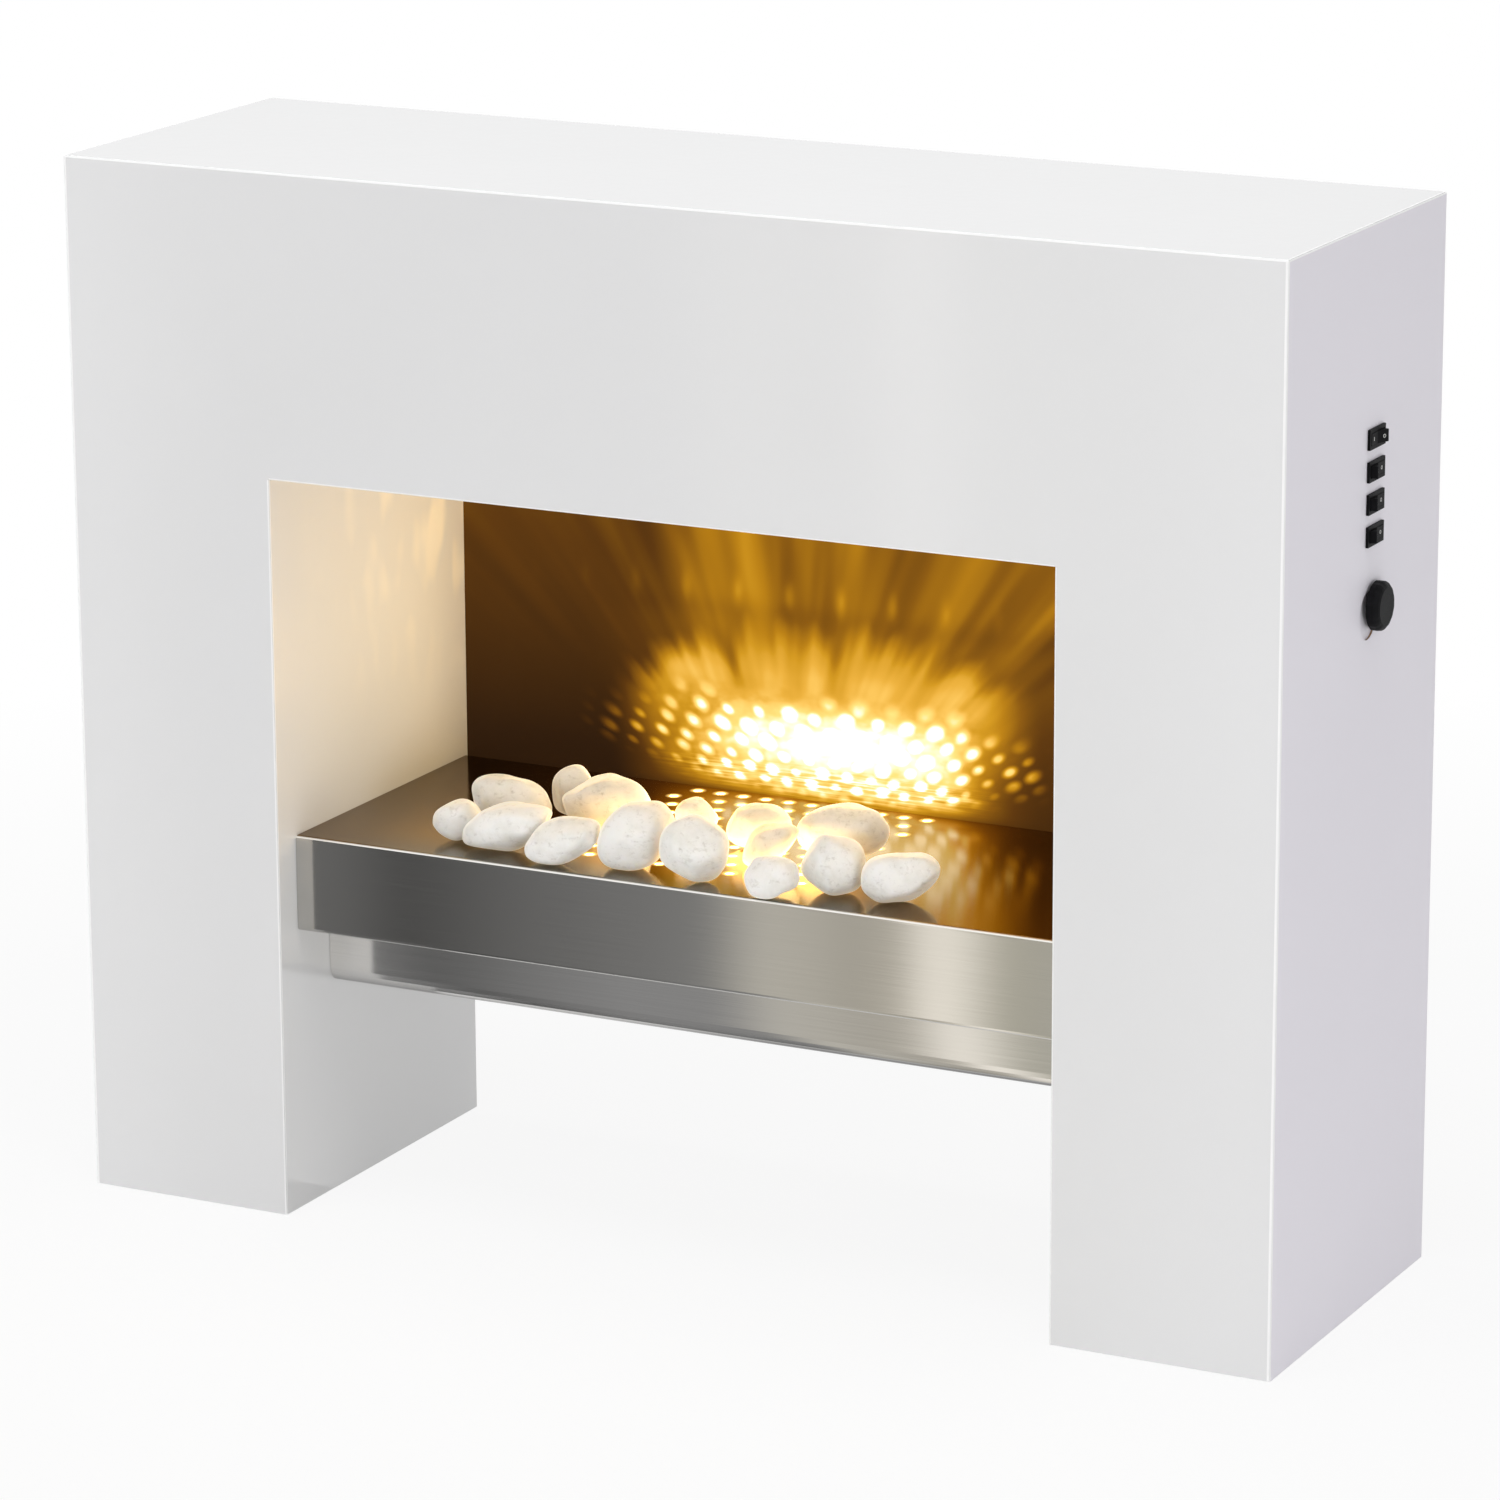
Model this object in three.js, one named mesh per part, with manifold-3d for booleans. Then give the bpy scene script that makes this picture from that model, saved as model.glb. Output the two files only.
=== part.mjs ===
// Free-standing electric fireplace: a mitred, lacquered portal surround holding a steel firebox.
// A perforated shelf dressed with pebbles hides the lamps and the turning flame spinner, a tangential
// fan heater sits in the header, and four rocker switches and a thermostat are set in the right side.
//
// Frame: millimetres, X to the right, Y to the back, Z up. The origin is on the floor, in the middle
// of the surround's width and depth.

import * as THREE from 'three';
import { mergeVertices } from 'three/addons/utils/BufferGeometryUtils.js';
import Module from 'manifold-3d';

const wasm = await Module();
wasm.setup();

// ---------- Driving dimensions ----------

const WIDTH = 1000;
const DEPTH = 300;
const HEIGHT = 820;
const PILLAR_WIDTH = 175;
const OPENING_TOP = 585;
const BOARD = 15;                 // lacquered fibreboard
const EASE = 1.5;                 // rounding of the lacquered edges
const BACK_BOARD = 4;
const BACK_RECESS = 12;           // the back boards sit this deep, for cable and intake air
const FIT = 0.3;                  // clearance between pieces that seat on each other
const MITRE_FIT = 0.45;           // the same clearance, measured along a leg of the mitre

const SHEET = 1.5;                // stainless sheet of the firebox
const FOLD_RADIUS = 1.5;
const SHELF_TOP = 300;
const SHELF_LIP = 14;             // the shelf's rear edge is folded down this far
const FASCIA_SETBACK = 26;
const FASCIA_HEIGHT = 76;
const BOX_SETBACK = 73;
const BOX_BOTTOM = 169;
const BOX_FRONT_RADIUS = 11;
const FIREBACK_DEPTH = 5.7;

const LAMP_X = 90;
const LAMP_Y = 45;
const RAIL_TOP = 186;
const SPINNER_AXIS = [110, 250];  // Y and Z
const SPINNER_END = 266;
const VANE_RADIUS = 22;
const VANE_COUNT = 6;

const FAN_AXIS = [-50, 710];      // Y and Z
const FAN_RADIUS = 30;
const FAN_LENGTH = 216;
const FAN_BLADES = 14;
const HEATER_HALF = 115;
const OUTLET_Y = [-105, -55];     // front and back wall of the warm-air duct

const CONTROL_Y = 18;
const SWITCH_TOP_Z = 663.5;
const SWITCH_PITCH = 23.8;
const SWITCH_COUNT = 4;
const BEZEL = [30, 15];           // along Y and Z
const ROCKER_TILT = 11;           // degrees to each side of level
const KNOB_Z = 539.5;
const KNOB_RADIUS = 18.5;
const KNOB_THICKNESS = 10;
const KNOB_GAP = 2;               // the grip floats this far off the panel on its neck
const KNOB_NECK = 6;
const KNOB_FLUTES = 14;
const SPINDLE_HOLE = 5;
const RECESS_RADIUS = 15;         // the knob covers all but the front and the foot of a shallow slot
const RECESS_DEPTH = 2;
const RECESS_Y = 11;
const RECESS_Z = [530, 536];      // the centres of the slot's round ends

// ---------- Places that follow from them ----------

const HALF_WIDTH = WIDTH / 2;
const FRONT = -DEPTH / 2;
const BACK = DEPTH / 2;
const OPENING_HALF = HALF_WIDTH - PILLAR_WIDTH;
const CHEEK_BACK = OPENING_HALF + BOARD;
const INSIDE_FRONT = FRONT + BOARD + FIT;
const INSIDE_HALF = HALF_WIDTH - BOARD - FIT;
const HEADER_FLOOR = OPENING_TOP + BOARD;
const INSIDE_TOP = HEIGHT - BOARD - FIT;
const COVER_Y = [BACK - BACK_RECESS - BACK_BOARD, BACK - BACK_RECESS];
const FASCIA_Y = FRONT + FASCIA_SETBACK;
const BOX_Y = FRONT + BOX_SETBACK;
const FIREBACK_Y = BACK - FIT - FIREBACK_DEPTH;
const SHELF_UNDER = SHELF_TOP - SHEET;
const BOX_BACK = BACK - FIT;
const BOX_FLOOR = BOX_BOTTOM + SHEET;

// ---------- Materials ----------

const finish = (color, roughness, metalness) => (
  new THREE.MeshStandardMaterial({ color, roughness, metalness })
);
const LACQUER = finish(0xf2f2f2, 0.12, 0);
const HARDBOARD = finish(0x7a5b40, 0.8, 0);
const STEEL = finish(0xb8b4ac, 0.35, 1);
const GALVANISED = finish(0x9da3a8, 0.5, 0.9);
const ALUMINIUM = finish(0xc9ccd0, 0.3, 1);
const BLACK_PLASTIC = finish(0x161616, 0.45, 0);
const BEIGE_PLASTIC = finish(0xd8cfb8, 0.5, 0);
const LAMP_GLASS = finish(0xffe2a8, 0.1, 0);
const PORCELAIN = finish(0xe9e6df, 0.4, 0);
const MICA = finish(0x8a7a55, 0.6, 0);
const QUARTZ = finish(0xe8e2d6, 0.5, 0);

// ---------- Solids ----------

const fireplace = new THREE.Group();

function add(name, geometry, material) {
  const piece = new THREE.Mesh(geometry, material);
  piece.name = name;
  fireplace.add(piece);
}

// A closed indexed copy of a geometry: shared corners merged, flat triangles dropped, faces outward.
function closed(geometry) {
  const bare = geometry.clone();
  bare.deleteAttribute('normal');
  bare.deleteAttribute('uv');
  const merged = mergeVertices(bare, 1e-4);
  const { array: index } = merged.index;
  const points = merged.attributes.position;
  const corners = [new THREE.Vector3(), new THREE.Vector3(), new THREE.Vector3()];
  const kept = [];
  let volume = 0;
  for (let i = 0; i < index.length; i += 3) {
    const triangle = [index[i], index[i + 1], index[i + 2]];
    if (new Set(triangle).size < 3) continue;
    triangle.forEach((vertex, k) => corners[k].fromBufferAttribute(points, vertex));
    volume += corners[0].dot(corners[1].clone().cross(corners[2]));
    kept.push(triangle);
  }
  const facing = volume < 0 ? kept.map(([a, b, c]) => [a, c, b]) : kept;
  merged.setIndex(facing.flat());
  return merged;
}

function toSolid(geometry) {
  const shell = closed(geometry);
  return new wasm.Manifold(new wasm.Mesh({
    numProp: 3,
    vertProperties: new Float32Array(shell.attributes.position.array),
    triVerts: new Uint32Array(shell.index.array),
  }));
}

function toGeometry(solid) {
  const { vertProperties, triVerts } = solid.getMesh();
  const geometry = new THREE.BufferGeometry();
  geometry.setAttribute('position', new THREE.BufferAttribute(vertProperties, 3));
  geometry.setIndex(new THREE.BufferAttribute(triVerts, 1));
  return geometry;
}

const cut = (base, ...tools) => (
  toGeometry(tools.reduce((solid, tool) => solid.subtract(toSolid(tool)), toSolid(base)))
);
const join = (...pieces) => toGeometry(pieces.map(toSolid).reduce((whole, piece) => whole.add(piece)));

function box([x0, x1], [y0, y1], [z0, z1]) {
  const block = new THREE.BoxGeometry(x1 - x0, y1 - y0, z1 - z0);
  block.translate((x0 + x1) / 2, (y0 + y1) / 2, (z0 + z1) / 2);
  return block;
}

// Turns a shape drawn in two directions and raised along the third to lie along a row axis.
// Along x the drawing is in Y and Z, along y it is in X and Z, and along z it is in X and Y.
const AXES = {
  x: [new THREE.Vector3(0, 1, 0), new THREE.Vector3(0, 0, 1), new THREE.Vector3(1, 0, 0)],
  y: [new THREE.Vector3(1, 0, 0), new THREE.Vector3(0, 0, 1), new THREE.Vector3(0, 1, 0)],
  z: [new THREE.Vector3(1, 0, 0), new THREE.Vector3(0, 1, 0), new THREE.Vector3(0, 0, 1)],
};
const along = (axis, geometry) => (
  closed(geometry.applyMatrix4(new THREE.Matrix4().makeBasis(...AXES[axis])))
);

// A flat outline of [u, v] points raised from one place along an axis to another.
function prism(axis, outline, [start, end]) {
  const shape = new THREE.Shape(outline.map(([u, v]) => new THREE.Vector2(u, v)));
  const body = new THREE.ExtrudeGeometry(shape, { depth: end - start, bevelEnabled: false });
  return along(axis, body.translate(0, 0, start));
}

// A body of revolution about an axis through [u, v]; the profile gives [radius, place along axis].
function turned(axis, profile, [u, v], sides = 16) {
  const lathe = new THREE.LatheGeometry(profile.map(([r, h]) => new THREE.Vector2(r, h)), sides);
  return along(axis, lathe.rotateX(Math.PI / 2).translate(u, v, 0));
}

const rod = (axis, radius, [start, end], centre, sides = 16) => (
  turned(axis, [[0, start], [radius, start], [radius, end], [0, end]], centre, sides)
);

const arc = (centre, radius, from, to, steps) => (
  Array.from({ length: steps + 1 }, (_, i) => {
    const angle = THREE.MathUtils.degToRad(from + ((to - from) * i) / steps);
    return [centre[0] + radius * Math.cos(angle), centre[1] + radius * Math.sin(angle)];
  })
);

// A solid skinned through rings of [u, v] points, one ring per level, with flat ends.
function skin(rings, place) {
  const sides = rings[0].length;
  const points = rings.flatMap((ring, level) => ring.flatMap(([u, v]) => place(u, v, level)));
  const faces = [];
  for (let level = 1; level < rings.length; level += 1) {
    for (let i = 0; i < sides; i += 1) {
      const low = (level - 1) * sides;
      const high = level * sides;
      const next = (i + 1) % sides;
      faces.push(low + i, low + next, high + next, low + i, high + next, high + i);
    }
  }
  const cap = (ring) => (
    THREE.ShapeUtils.triangulateShape(ring.map(([u, v]) => new THREE.Vector2(u, v)), [])
  );
  const top = (rings.length - 1) * sides;
  cap(rings[0]).forEach(([a, b, c]) => faces.push(a, c, b));
  cap(rings.at(-1)).forEach(([a, b, c]) => faces.push(top + a, top + b, top + c));
  const geometry = new THREE.BufferGeometry();
  geometry.setAttribute('position', new THREE.Float32BufferAttribute(points, 3));
  geometry.setIndex(faces);
  return closed(geometry);
}

// Moves each edge of a counter-clockwise outline inwards by its own distance.
function inset(outline, distances) {
  const count = outline.length;
  const edges = outline.map(([u, v], i) => {
    const [nextU, nextV] = outline[(i + 1) % count];
    const length = Math.hypot(nextU - u, nextV - v);
    const [du, dv] = [(nextU - u) / length, (nextV - v) / length];
    return { u: u - dv * distances[i], v: v + du * distances[i], du, dv };
  });
  return outline.map((_, i) => {
    const one = edges[(i + count - 1) % count];
    const two = edges[i];
    const spread = one.du * two.dv - one.dv * two.du;
    const step = ((two.u - one.u) * two.dv - (two.v - one.v) * two.du) / spread;
    return [one.u + one.du * step, one.v + one.dv * step];
  });
}

// ---------- Folded sheet metal ----------

// The outline of a sheet folded along a path of outer corners, with the sheet to the path's left.
// A corner is [u, v] or [u, v, inner fold radius]; near is the path's side and far the other.
function folded(path, thickness = SHEET, foldSteps = 3) {
  const corners = path.map(([u, v]) => new THREE.Vector2(u, v));
  const heading = (from, to) => to.clone().sub(from).normalize();
  const leftOf = ({ x, y }) => new THREE.Vector2(-y, x);
  const origin = new THREE.Vector2();
  const near = [];
  const far = [];
  corners.forEach((corner, i) => {
    if (i === 0 || i === corners.length - 1) {
      const line = i === 0 ? heading(corner, corners[1]) : heading(corners[i - 1], corner);
      near.push(corner);
      far.push(corner.clone().addScaledVector(leftOf(line), thickness));
      return;
    }
    const arriving = heading(corners[i - 1], corner);
    const turn = Math.atan2(
      arriving.cross(heading(corner, corners[i + 1])),
      arriving.dot(heading(corner, corners[i + 1])),
    );
    const side = Math.sign(turn);
    const inner = path[i][2] ?? FOLD_RADIUS;
    const bend = side > 0 ? inner + thickness : inner;
    const centre = corner.clone()
      .addScaledVector(arriving, -bend * Math.tan(Math.abs(turn) / 2))
      .addScaledVector(leftOf(arriving), side * bend);
    for (let k = 0; k <= foldSteps; k += 1) {
      const normal = leftOf(arriving).rotateAround(origin, (turn * k) / foldSteps);
      near.push(centre.clone().addScaledVector(normal, -side * bend));
      far.push(centre.clone().addScaledVector(normal, thickness - side * bend));
    }
  });
  const pairs = (points) => points.map(({ x, y }) => [x, y]);
  return { near: pairs(near), outline: [...pairs(near), ...pairs(far).reverse()] };
}

// ---------- Surround ----------

// Each board is skinned from its visible face to its back. Depths follow the eased edge, then the
// full thickness.
const EASE_ANGLES = [0, 22.5, 45].map(THREE.MathUtils.degToRad);
const BOARD_DEPTHS = [...EASE_ANGLES.map((angle) => EASE * (1 - Math.cos(angle))), BOARD];

// How far an edge stands in from the board's outline at each depth.
const SQUARE = BOARD_DEPTHS.map(() => 0);
const MITRE = [...EASE_ANGLES.map((angle) => EASE * (1 - Math.sin(angle))), BOARD];
const FITTED_MITRE = MITRE.map((step) => step + MITRE_FIT);
const INNER_MITRE = BOARD_DEPTHS.map((depth) => MITRE_FIT - depth);

function board(outline, edges, place) {
  const rings = BOARD_DEPTHS.map((_, level) => inset(outline, edges.map((edge) => edge[level])));
  return skin(rings, (u, v, level) => place(u, v, BOARD_DEPTHS[level]));
}

function portal() {
  const outline = [
    [-HALF_WIDTH, 0], [-OPENING_HALF, 0], [-OPENING_HALF, OPENING_TOP], [OPENING_HALF, OPENING_TOP],
    [OPENING_HALF, 0], [HALF_WIDTH, 0], [HALF_WIDTH, HEIGHT], [-HALF_WIDTH, HEIGHT],
  ];
  const edges = [SQUARE, MITRE, MITRE, MITRE, SQUARE, MITRE, MITRE, MITRE];
  add('front_panel', board(outline, edges, (x, z, depth) => [x, FRONT + depth, z]), LACQUER);
}

function mantel() {
  const outline = [[-HALF_WIDTH, FRONT], [HALF_WIDTH, FRONT], [HALF_WIDTH, BACK], [-HALF_WIDTH, BACK]];
  const edges = [FITTED_MITRE, FITTED_MITRE, SQUARE, FITTED_MITRE];
  add('top_panel', board(outline, edges, (x, y, depth) => [x, y, HEIGHT - depth]), LACQUER);
}

const switchHeights = Array.from({ length: SWITCH_COUNT }, (_, i) => SWITCH_TOP_Z - i * SWITCH_PITCH);
const SLOT_HALF = [13.7, 6.4];

function outerSides() {
  const outline = [[FRONT, 0], [BACK, 0], [BACK, HEIGHT], [FRONT, HEIGHT]];
  const edges = [SQUARE, SQUARE, MITRE, FITTED_MITRE];
  add('left_side_panel', board(outline, edges, (y, z, depth) => [depth - HALF_WIDTH, y, z]), LACQUER);
  const side = board(outline, edges, (y, z, depth) => [HALF_WIDTH - depth, y, z]);
  const through = [HALF_WIDTH - BOARD - 1, HALF_WIDTH + 1];
  const slots = switchHeights.map((z) => box(
    through,
    [CONTROL_Y - SLOT_HALF[0], CONTROL_Y + SLOT_HALF[0]],
    [z - SLOT_HALF[1], z + SLOT_HALF[1]],
  ));
  const recessOutline = [
    ...arc([RECESS_Y, RECESS_Z[0]], RECESS_RADIUS, 180, 360, 16),
    ...arc([RECESS_Y, RECESS_Z[1]], RECESS_RADIUS, 0, 180, 16),
  ];
  const recess = prism('x', recessOutline, [HALF_WIDTH - RECESS_DEPTH, HALF_WIDTH + 1]);
  const spindleHole = rod('x', SPINDLE_HOLE, through, [CONTROL_Y, KNOB_Z]);
  add('right_side_panel', cut(side, recess, spindleHole, ...slots), LACQUER);
}

const DUCT_SLOT = { x: HEATER_HALF + 5, y: [OUTLET_Y[0] - 5, OUTLET_Y[1] + 5] };

function openingLinings() {
  const cheek = [[FRONT, 0], [BACK, 0], [BACK, OPENING_TOP], [FRONT, OPENING_TOP]];
  const edges = [SQUARE, SQUARE, INNER_MITRE, FITTED_MITRE];
  for (const [name, side] of [['left_cheek', -1], ['right_cheek', 1]]) {
    const place = (y, z, depth) => [side * (OPENING_HALF + depth), y, z];
    add(name, board(cheek, edges, place), LACQUER);
  }
  const outline = [
    [-OPENING_HALF, FRONT], [OPENING_HALF, FRONT], [OPENING_HALF, BACK], [-OPENING_HALF, BACK],
  ];
  const soffit = board(
    outline,
    [FITTED_MITRE, INNER_MITRE, SQUARE, INNER_MITRE],
    (x, y, depth) => [x, y, OPENING_TOP + depth],
  );
  const slot = box([-DUCT_SLOT.x, DUCT_SLOT.x], DUCT_SLOT.y, [OPENING_TOP - 1, HEADER_FLOOR + 1]);
  add('soffit_panel', cut(soffit, slot), LACQUER);
}

const GLAND_PLACE = [CHEEK_BACK + 72, 60];   // X and Z
const GLAND_HOLE = 9;
const VENT_X = [-90, -30, 30, 90];           // the fan's intake slots through the header's back
const VENT_Z = [695, 709, 723, 737];
const VENT_HALF = [24, 3];                   // half length and radius of a slot

// A pill-shaped outline, for slots.
const pill = ([u, v], [halfLength, radius]) => [
  ...arc([u + halfLength - radius, v], radius, -90, 90, 3),
  ...arc([u - halfLength + radius, v], radius, 90, 270, 3),
];

function closingBoards() {
  const pillar = [CHEEK_BACK + FIT, INSIDE_HALF];
  const mirrored = ([from, to]) => [-to, -from];
  for (const [name, xs] of [['left_foot_panel', mirrored(pillar)], ['right_foot_panel', pillar]]) {
    add(name, box(xs, [INSIDE_FRONT, BACK], [0, BOARD]), LACQUER);
  }
  const coverZ = [BOARD + FIT, HEADER_FLOOR - FIT];
  add('left_back_cover', box(mirrored(pillar), COVER_Y, coverZ), HARDBOARD);
  const glandHole = rod('y', GLAND_HOLE, [COVER_Y[0] - 1, COVER_Y[1] + 1], GLAND_PLACE, 20);
  add('right_back_cover', cut(box(pillar, COVER_Y, coverZ), glandHole), HARDBOARD);
  const slots = VENT_Z.flatMap((z) => VENT_X.map((x) => (
    prism('y', pill([x, z], VENT_HALF), [COVER_Y[0] - 1, COVER_Y[1] + 1])
  )));
  const header = box([-INSIDE_HALF, INSIDE_HALF], COVER_Y, [HEADER_FLOOR + FIT, INSIDE_TOP]);
  add('header_back_cover', cut(header, ...slots), HARDBOARD);
}

// ---------- Firebox ----------

const LINING_HALF = OPENING_HALF - FIT;

function fireback() {
  const [bottom, top] = [SHELF_UNDER, OPENING_TOP - FIT];
  const pan = box([-LINING_HALF, LINING_HALF], [FIREBACK_Y, FIREBACK_Y + FIREBACK_DEPTH], [bottom, top]);
  const hollow = box(
    [SHEET - LINING_HALF, LINING_HALF - SHEET],
    [FIREBACK_Y + SHEET, BACK + 1],
    [bottom + SHEET, top - SHEET],
  );
  add('fireback', cut(pan, hollow), STEEL);
}

const HOLE_RADIUS = 4.5;
const HOLE_PITCH = [20, 22];        // along X and Y
const HOLE_FIELD_X = -12;           // the middle of the rows, under the middle of the pebbles
const FIRST_HOLE_ROW = -70;         // Y of the front row; the rows run back from under the pebbles
const HOLE_ROWS = 10;
const HOLES_IN_ROW = 11;

function shelfTray() {
  const rear = FIREBACK_Y - FIT;
  const sheet = folded([
    [rear, SHELF_TOP - SHELF_LIP], [rear, SHELF_TOP], [FASCIA_Y, SHELF_TOP],
    [FASCIA_Y, SHELF_TOP - FASCIA_HEIGHT], [BOX_Y - FIT, SHELF_TOP - FASCIA_HEIGHT],
  ]);
  const tray = prism('x', sheet.outline, [-LINING_HALF, LINING_HALF]);
  const holes = Array.from({ length: HOLE_ROWS * HOLES_IN_ROW }, (_, i) => {
    const row = Math.floor(i / HOLES_IN_ROW);
    const column = (i % HOLES_IN_ROW) - (HOLES_IN_ROW - 1) / 2;
    const x = HOLE_FIELD_X + (column + (row % 2 ? 0.25 : -0.25)) * HOLE_PITCH[0];
    const y = FIRST_HOLE_ROW + row * HOLE_PITCH[1];
    return rod('z', HOLE_RADIUS, [SHELF_TOP - 4, SHELF_TOP + 1], [x, y], 6);
  });
  add('shelf_tray', cut(tray, ...holes), STEEL);
}

// The shelf's rear lip hangs inside the box, so the box's ends are notched for it.
function lipNotch() {
  const lip = FIREBACK_Y - FIT;
  return box(
    [-OPENING_HALF, OPENING_HALF],
    [lip - SHEET - FIT, lip + FIT],
    [SHELF_TOP - SHELF_LIP - FIT, SHELF_TOP],
  );
}

function lowerBox() {
  const rim = SHELF_UNDER - FIT;
  const sheet = folded([
    [BOX_Y, rim], [BOX_Y, BOX_BOTTOM, BOX_FRONT_RADIUS], [BOX_BACK, BOX_BOTTOM], [BOX_BACK, rim - FIT],
  ], SHEET, 5);
  const channel = prism('x', sheet.outline, [-LINING_HALF, LINING_HALF]);
  const ends = [[-LINING_HALF, SHEET - LINING_HALF], [LINING_HALF - SHEET, LINING_HALF]];
  const trough = join(channel, ...ends.map((span) => prism('x', sheet.near, span)));
  add('lower_box', cut(trough, lipNotch()), STEEL);
}

// ---------- Light engine ----------

const CAP_RADIUS = 6.8;
const LAMP_SIDES = 12;
const HOLDER_TOP = RAIL_TOP + 30;
const RAIL_HALF = 26;
const RAIL_REACH = 60;              // the rail's length past each lamp

function lamps() {
  const rail = folded([
    [LAMP_Y + RAIL_HALF, BOX_FLOOR + FIT], [LAMP_Y + RAIL_HALF, RAIL_TOP],
    [LAMP_Y - RAIL_HALF, RAIL_TOP], [LAMP_Y - RAIL_HALF, BOX_FLOOR + FIT],
  ]);
  const ends = [-LAMP_X - RAIL_REACH, LAMP_X + RAIL_REACH];
  add('lamp_rail', prism('x', rail.outline, ends), GALVANISED);
  for (const [side, x] of [['left', -LAMP_X], ['right', LAMP_X]]) {
    const holder = [
      [0, RAIL_TOP + FIT], [15, RAIL_TOP + FIT], [15, RAIL_TOP + 6], [12, RAIL_TOP + 8],
      [12, HOLDER_TOP - 2], [11, HOLDER_TOP], [CAP_RADIUS + FIT, HOLDER_TOP],
      [CAP_RADIUS + FIT, RAIL_TOP + 9], [0, RAIL_TOP + 9],
    ];
    add(`${side}_lamp_holder`, turned('z', holder, [x, LAMP_Y], LAMP_SIDES), PORCELAIN);
    const bulb = [
      [0, RAIL_TOP + 10], [CAP_RADIUS, RAIL_TOP + 12], [CAP_RADIUS, HOLDER_TOP + 3],
      [12, HOLDER_TOP + 12], [16.5, HOLDER_TOP + 24], [17, HOLDER_TOP + 32], [13.5, HOLDER_TOP + 46],
      [7, HOLDER_TOP + 60], [2, HOLDER_TOP + 69], [0, HOLDER_TOP + 70],
    ];
    add(`${side}_lamp`, turned('z', bulb, [x, LAMP_Y], LAMP_SIDES), LAMP_GLASS);
  }
}

const SHAFT_RADIUS = 2;
const BORE_RADIUS = SHAFT_RADIUS + FIT;
const VANE_THICKNESS = 1;
const VANE_LENGTH = 60;
const VANE_TWIST = 45;             // degrees from one end of a vane to the other
const VANE_STAGGER = 80;           // degrees from one vane to the next
const END_VANE_GAP = 8;            // bare shaft between the last vane and the shaft's bearing
const JOURNAL = 8;                 // the shaft's length inside a bearing

// A vane is a leaf-shaped strip across the shaft, twisted about it like a propeller.
function vane(start, startAngle) {
  const steps = 6;
  const across = [-1, -0.5, 0, 0.5, 1];
  const half = VANE_THICKNESS / 2;
  const rings = Array.from({ length: steps + 1 }, (_, i) => {
    const middle = Math.sin((Math.PI * (i + 1)) / (steps + 2));
    const reach = VANE_RADIUS * (0.45 + 0.55 * middle);
    const angle = THREE.MathUtils.degToRad(startAngle + (VANE_TWIST * i) / steps);
    const [c, s] = [Math.cos(angle), Math.sin(angle)];
    const under = across.map((share) => [share * reach, -half]);
    const over = across.map((share) => [-share * reach, half]);
    return [...under, ...over].map(([u, v]) => [
      SPINNER_AXIS[0] + u * c - v * s,
      SPINNER_AXIS[1] + u * s + v * c,
    ]);
  });
  return skin(rings, (y, z, level) => [start + (VANE_LENGTH * level) / steps, y, z]);
}

function flameSpinner() {
  const pitch = (2 * (SPINNER_END - END_VANE_GAP)) / VANE_COUNT;
  const ends = [-SPINNER_END - JOURNAL, SPINNER_END + JOURNAL];
  const shaft = rod('x', SHAFT_RADIUS, ends, SPINNER_AXIS, 8);
  const vanes = Array.from({ length: VANE_COUNT }, (_, i) => (
    vane(END_VANE_GAP - SPINNER_END + i * pitch, i * VANE_STAGGER)
  ));
  add('flame_spinner', join(shaft, ...vanes), ALUMINIUM);
}

const EAR_RADIUS = 9;
const EAR_FOOT_HALF = 12;

function spinnerSupports() {
  const [y, z] = SPINNER_AXIS;
  const foot = BOX_FLOOR + FIT;
  const footY = [y - EAR_FOOT_HALF, y + EAR_FOOT_HALF];
  const ear = [[footY[0], foot], [footY[1], foot], ...arc([y, z], EAR_RADIUS, 0, 180, 8)];
  const bore = rod('x', BORE_RADIUS, [-SPINNER_END - 12, SPINNER_END + 12], SPINNER_AXIS, 16);
  const leftFoot = box([-SPINNER_END - 24, -SPINNER_END - 2], footY, [foot, foot + 4]);
  const bush = join(prism('x', ear, [-SPINNER_END - 10, -SPINNER_END - 4]), leftFoot);
  add('spinner_bush', cut(bush, bore), BEIGE_PLASTIC);
  const can = turned('x', [
    [0, SPINNER_END], [7, SPINNER_END], [7, SPINNER_END + 4], [22, SPINNER_END + 4],
    [24, SPINNER_END + 6], [24, SPINNER_END + 22], [22, SPINNER_END + 24], [0, SPINNER_END + 24],
  ], SPINNER_AXIS, 20);
  const rightEar = prism('x', ear, [SPINNER_END + 5, SPINNER_END + 8]);
  const rightFoot = box([SPINNER_END + 5, SPINNER_END + 28], footY, [foot, foot + 3]);
  add('spinner_motor', cut(join(can, rightEar, rightFoot), bore), GALVANISED);
}

// ---------- Fan heater ----------

const HOUSING_SHEET = 1;
const SCROLL_STEPS = 9;
const SCROLL_SWEEP = 125;          // degrees from the duct's front wall to the scroll's lip
const IMPELLER_GAP = 5;            // between the impeller and the scroll's lip
const THROAT_GAP = 10;             // between the impeller and the tongue under it
const FLANGE = 12;                 // the duct's feet on the header's floor
const END_MARGIN = 3;              // how far an end plate stands out round the scroll

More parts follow.
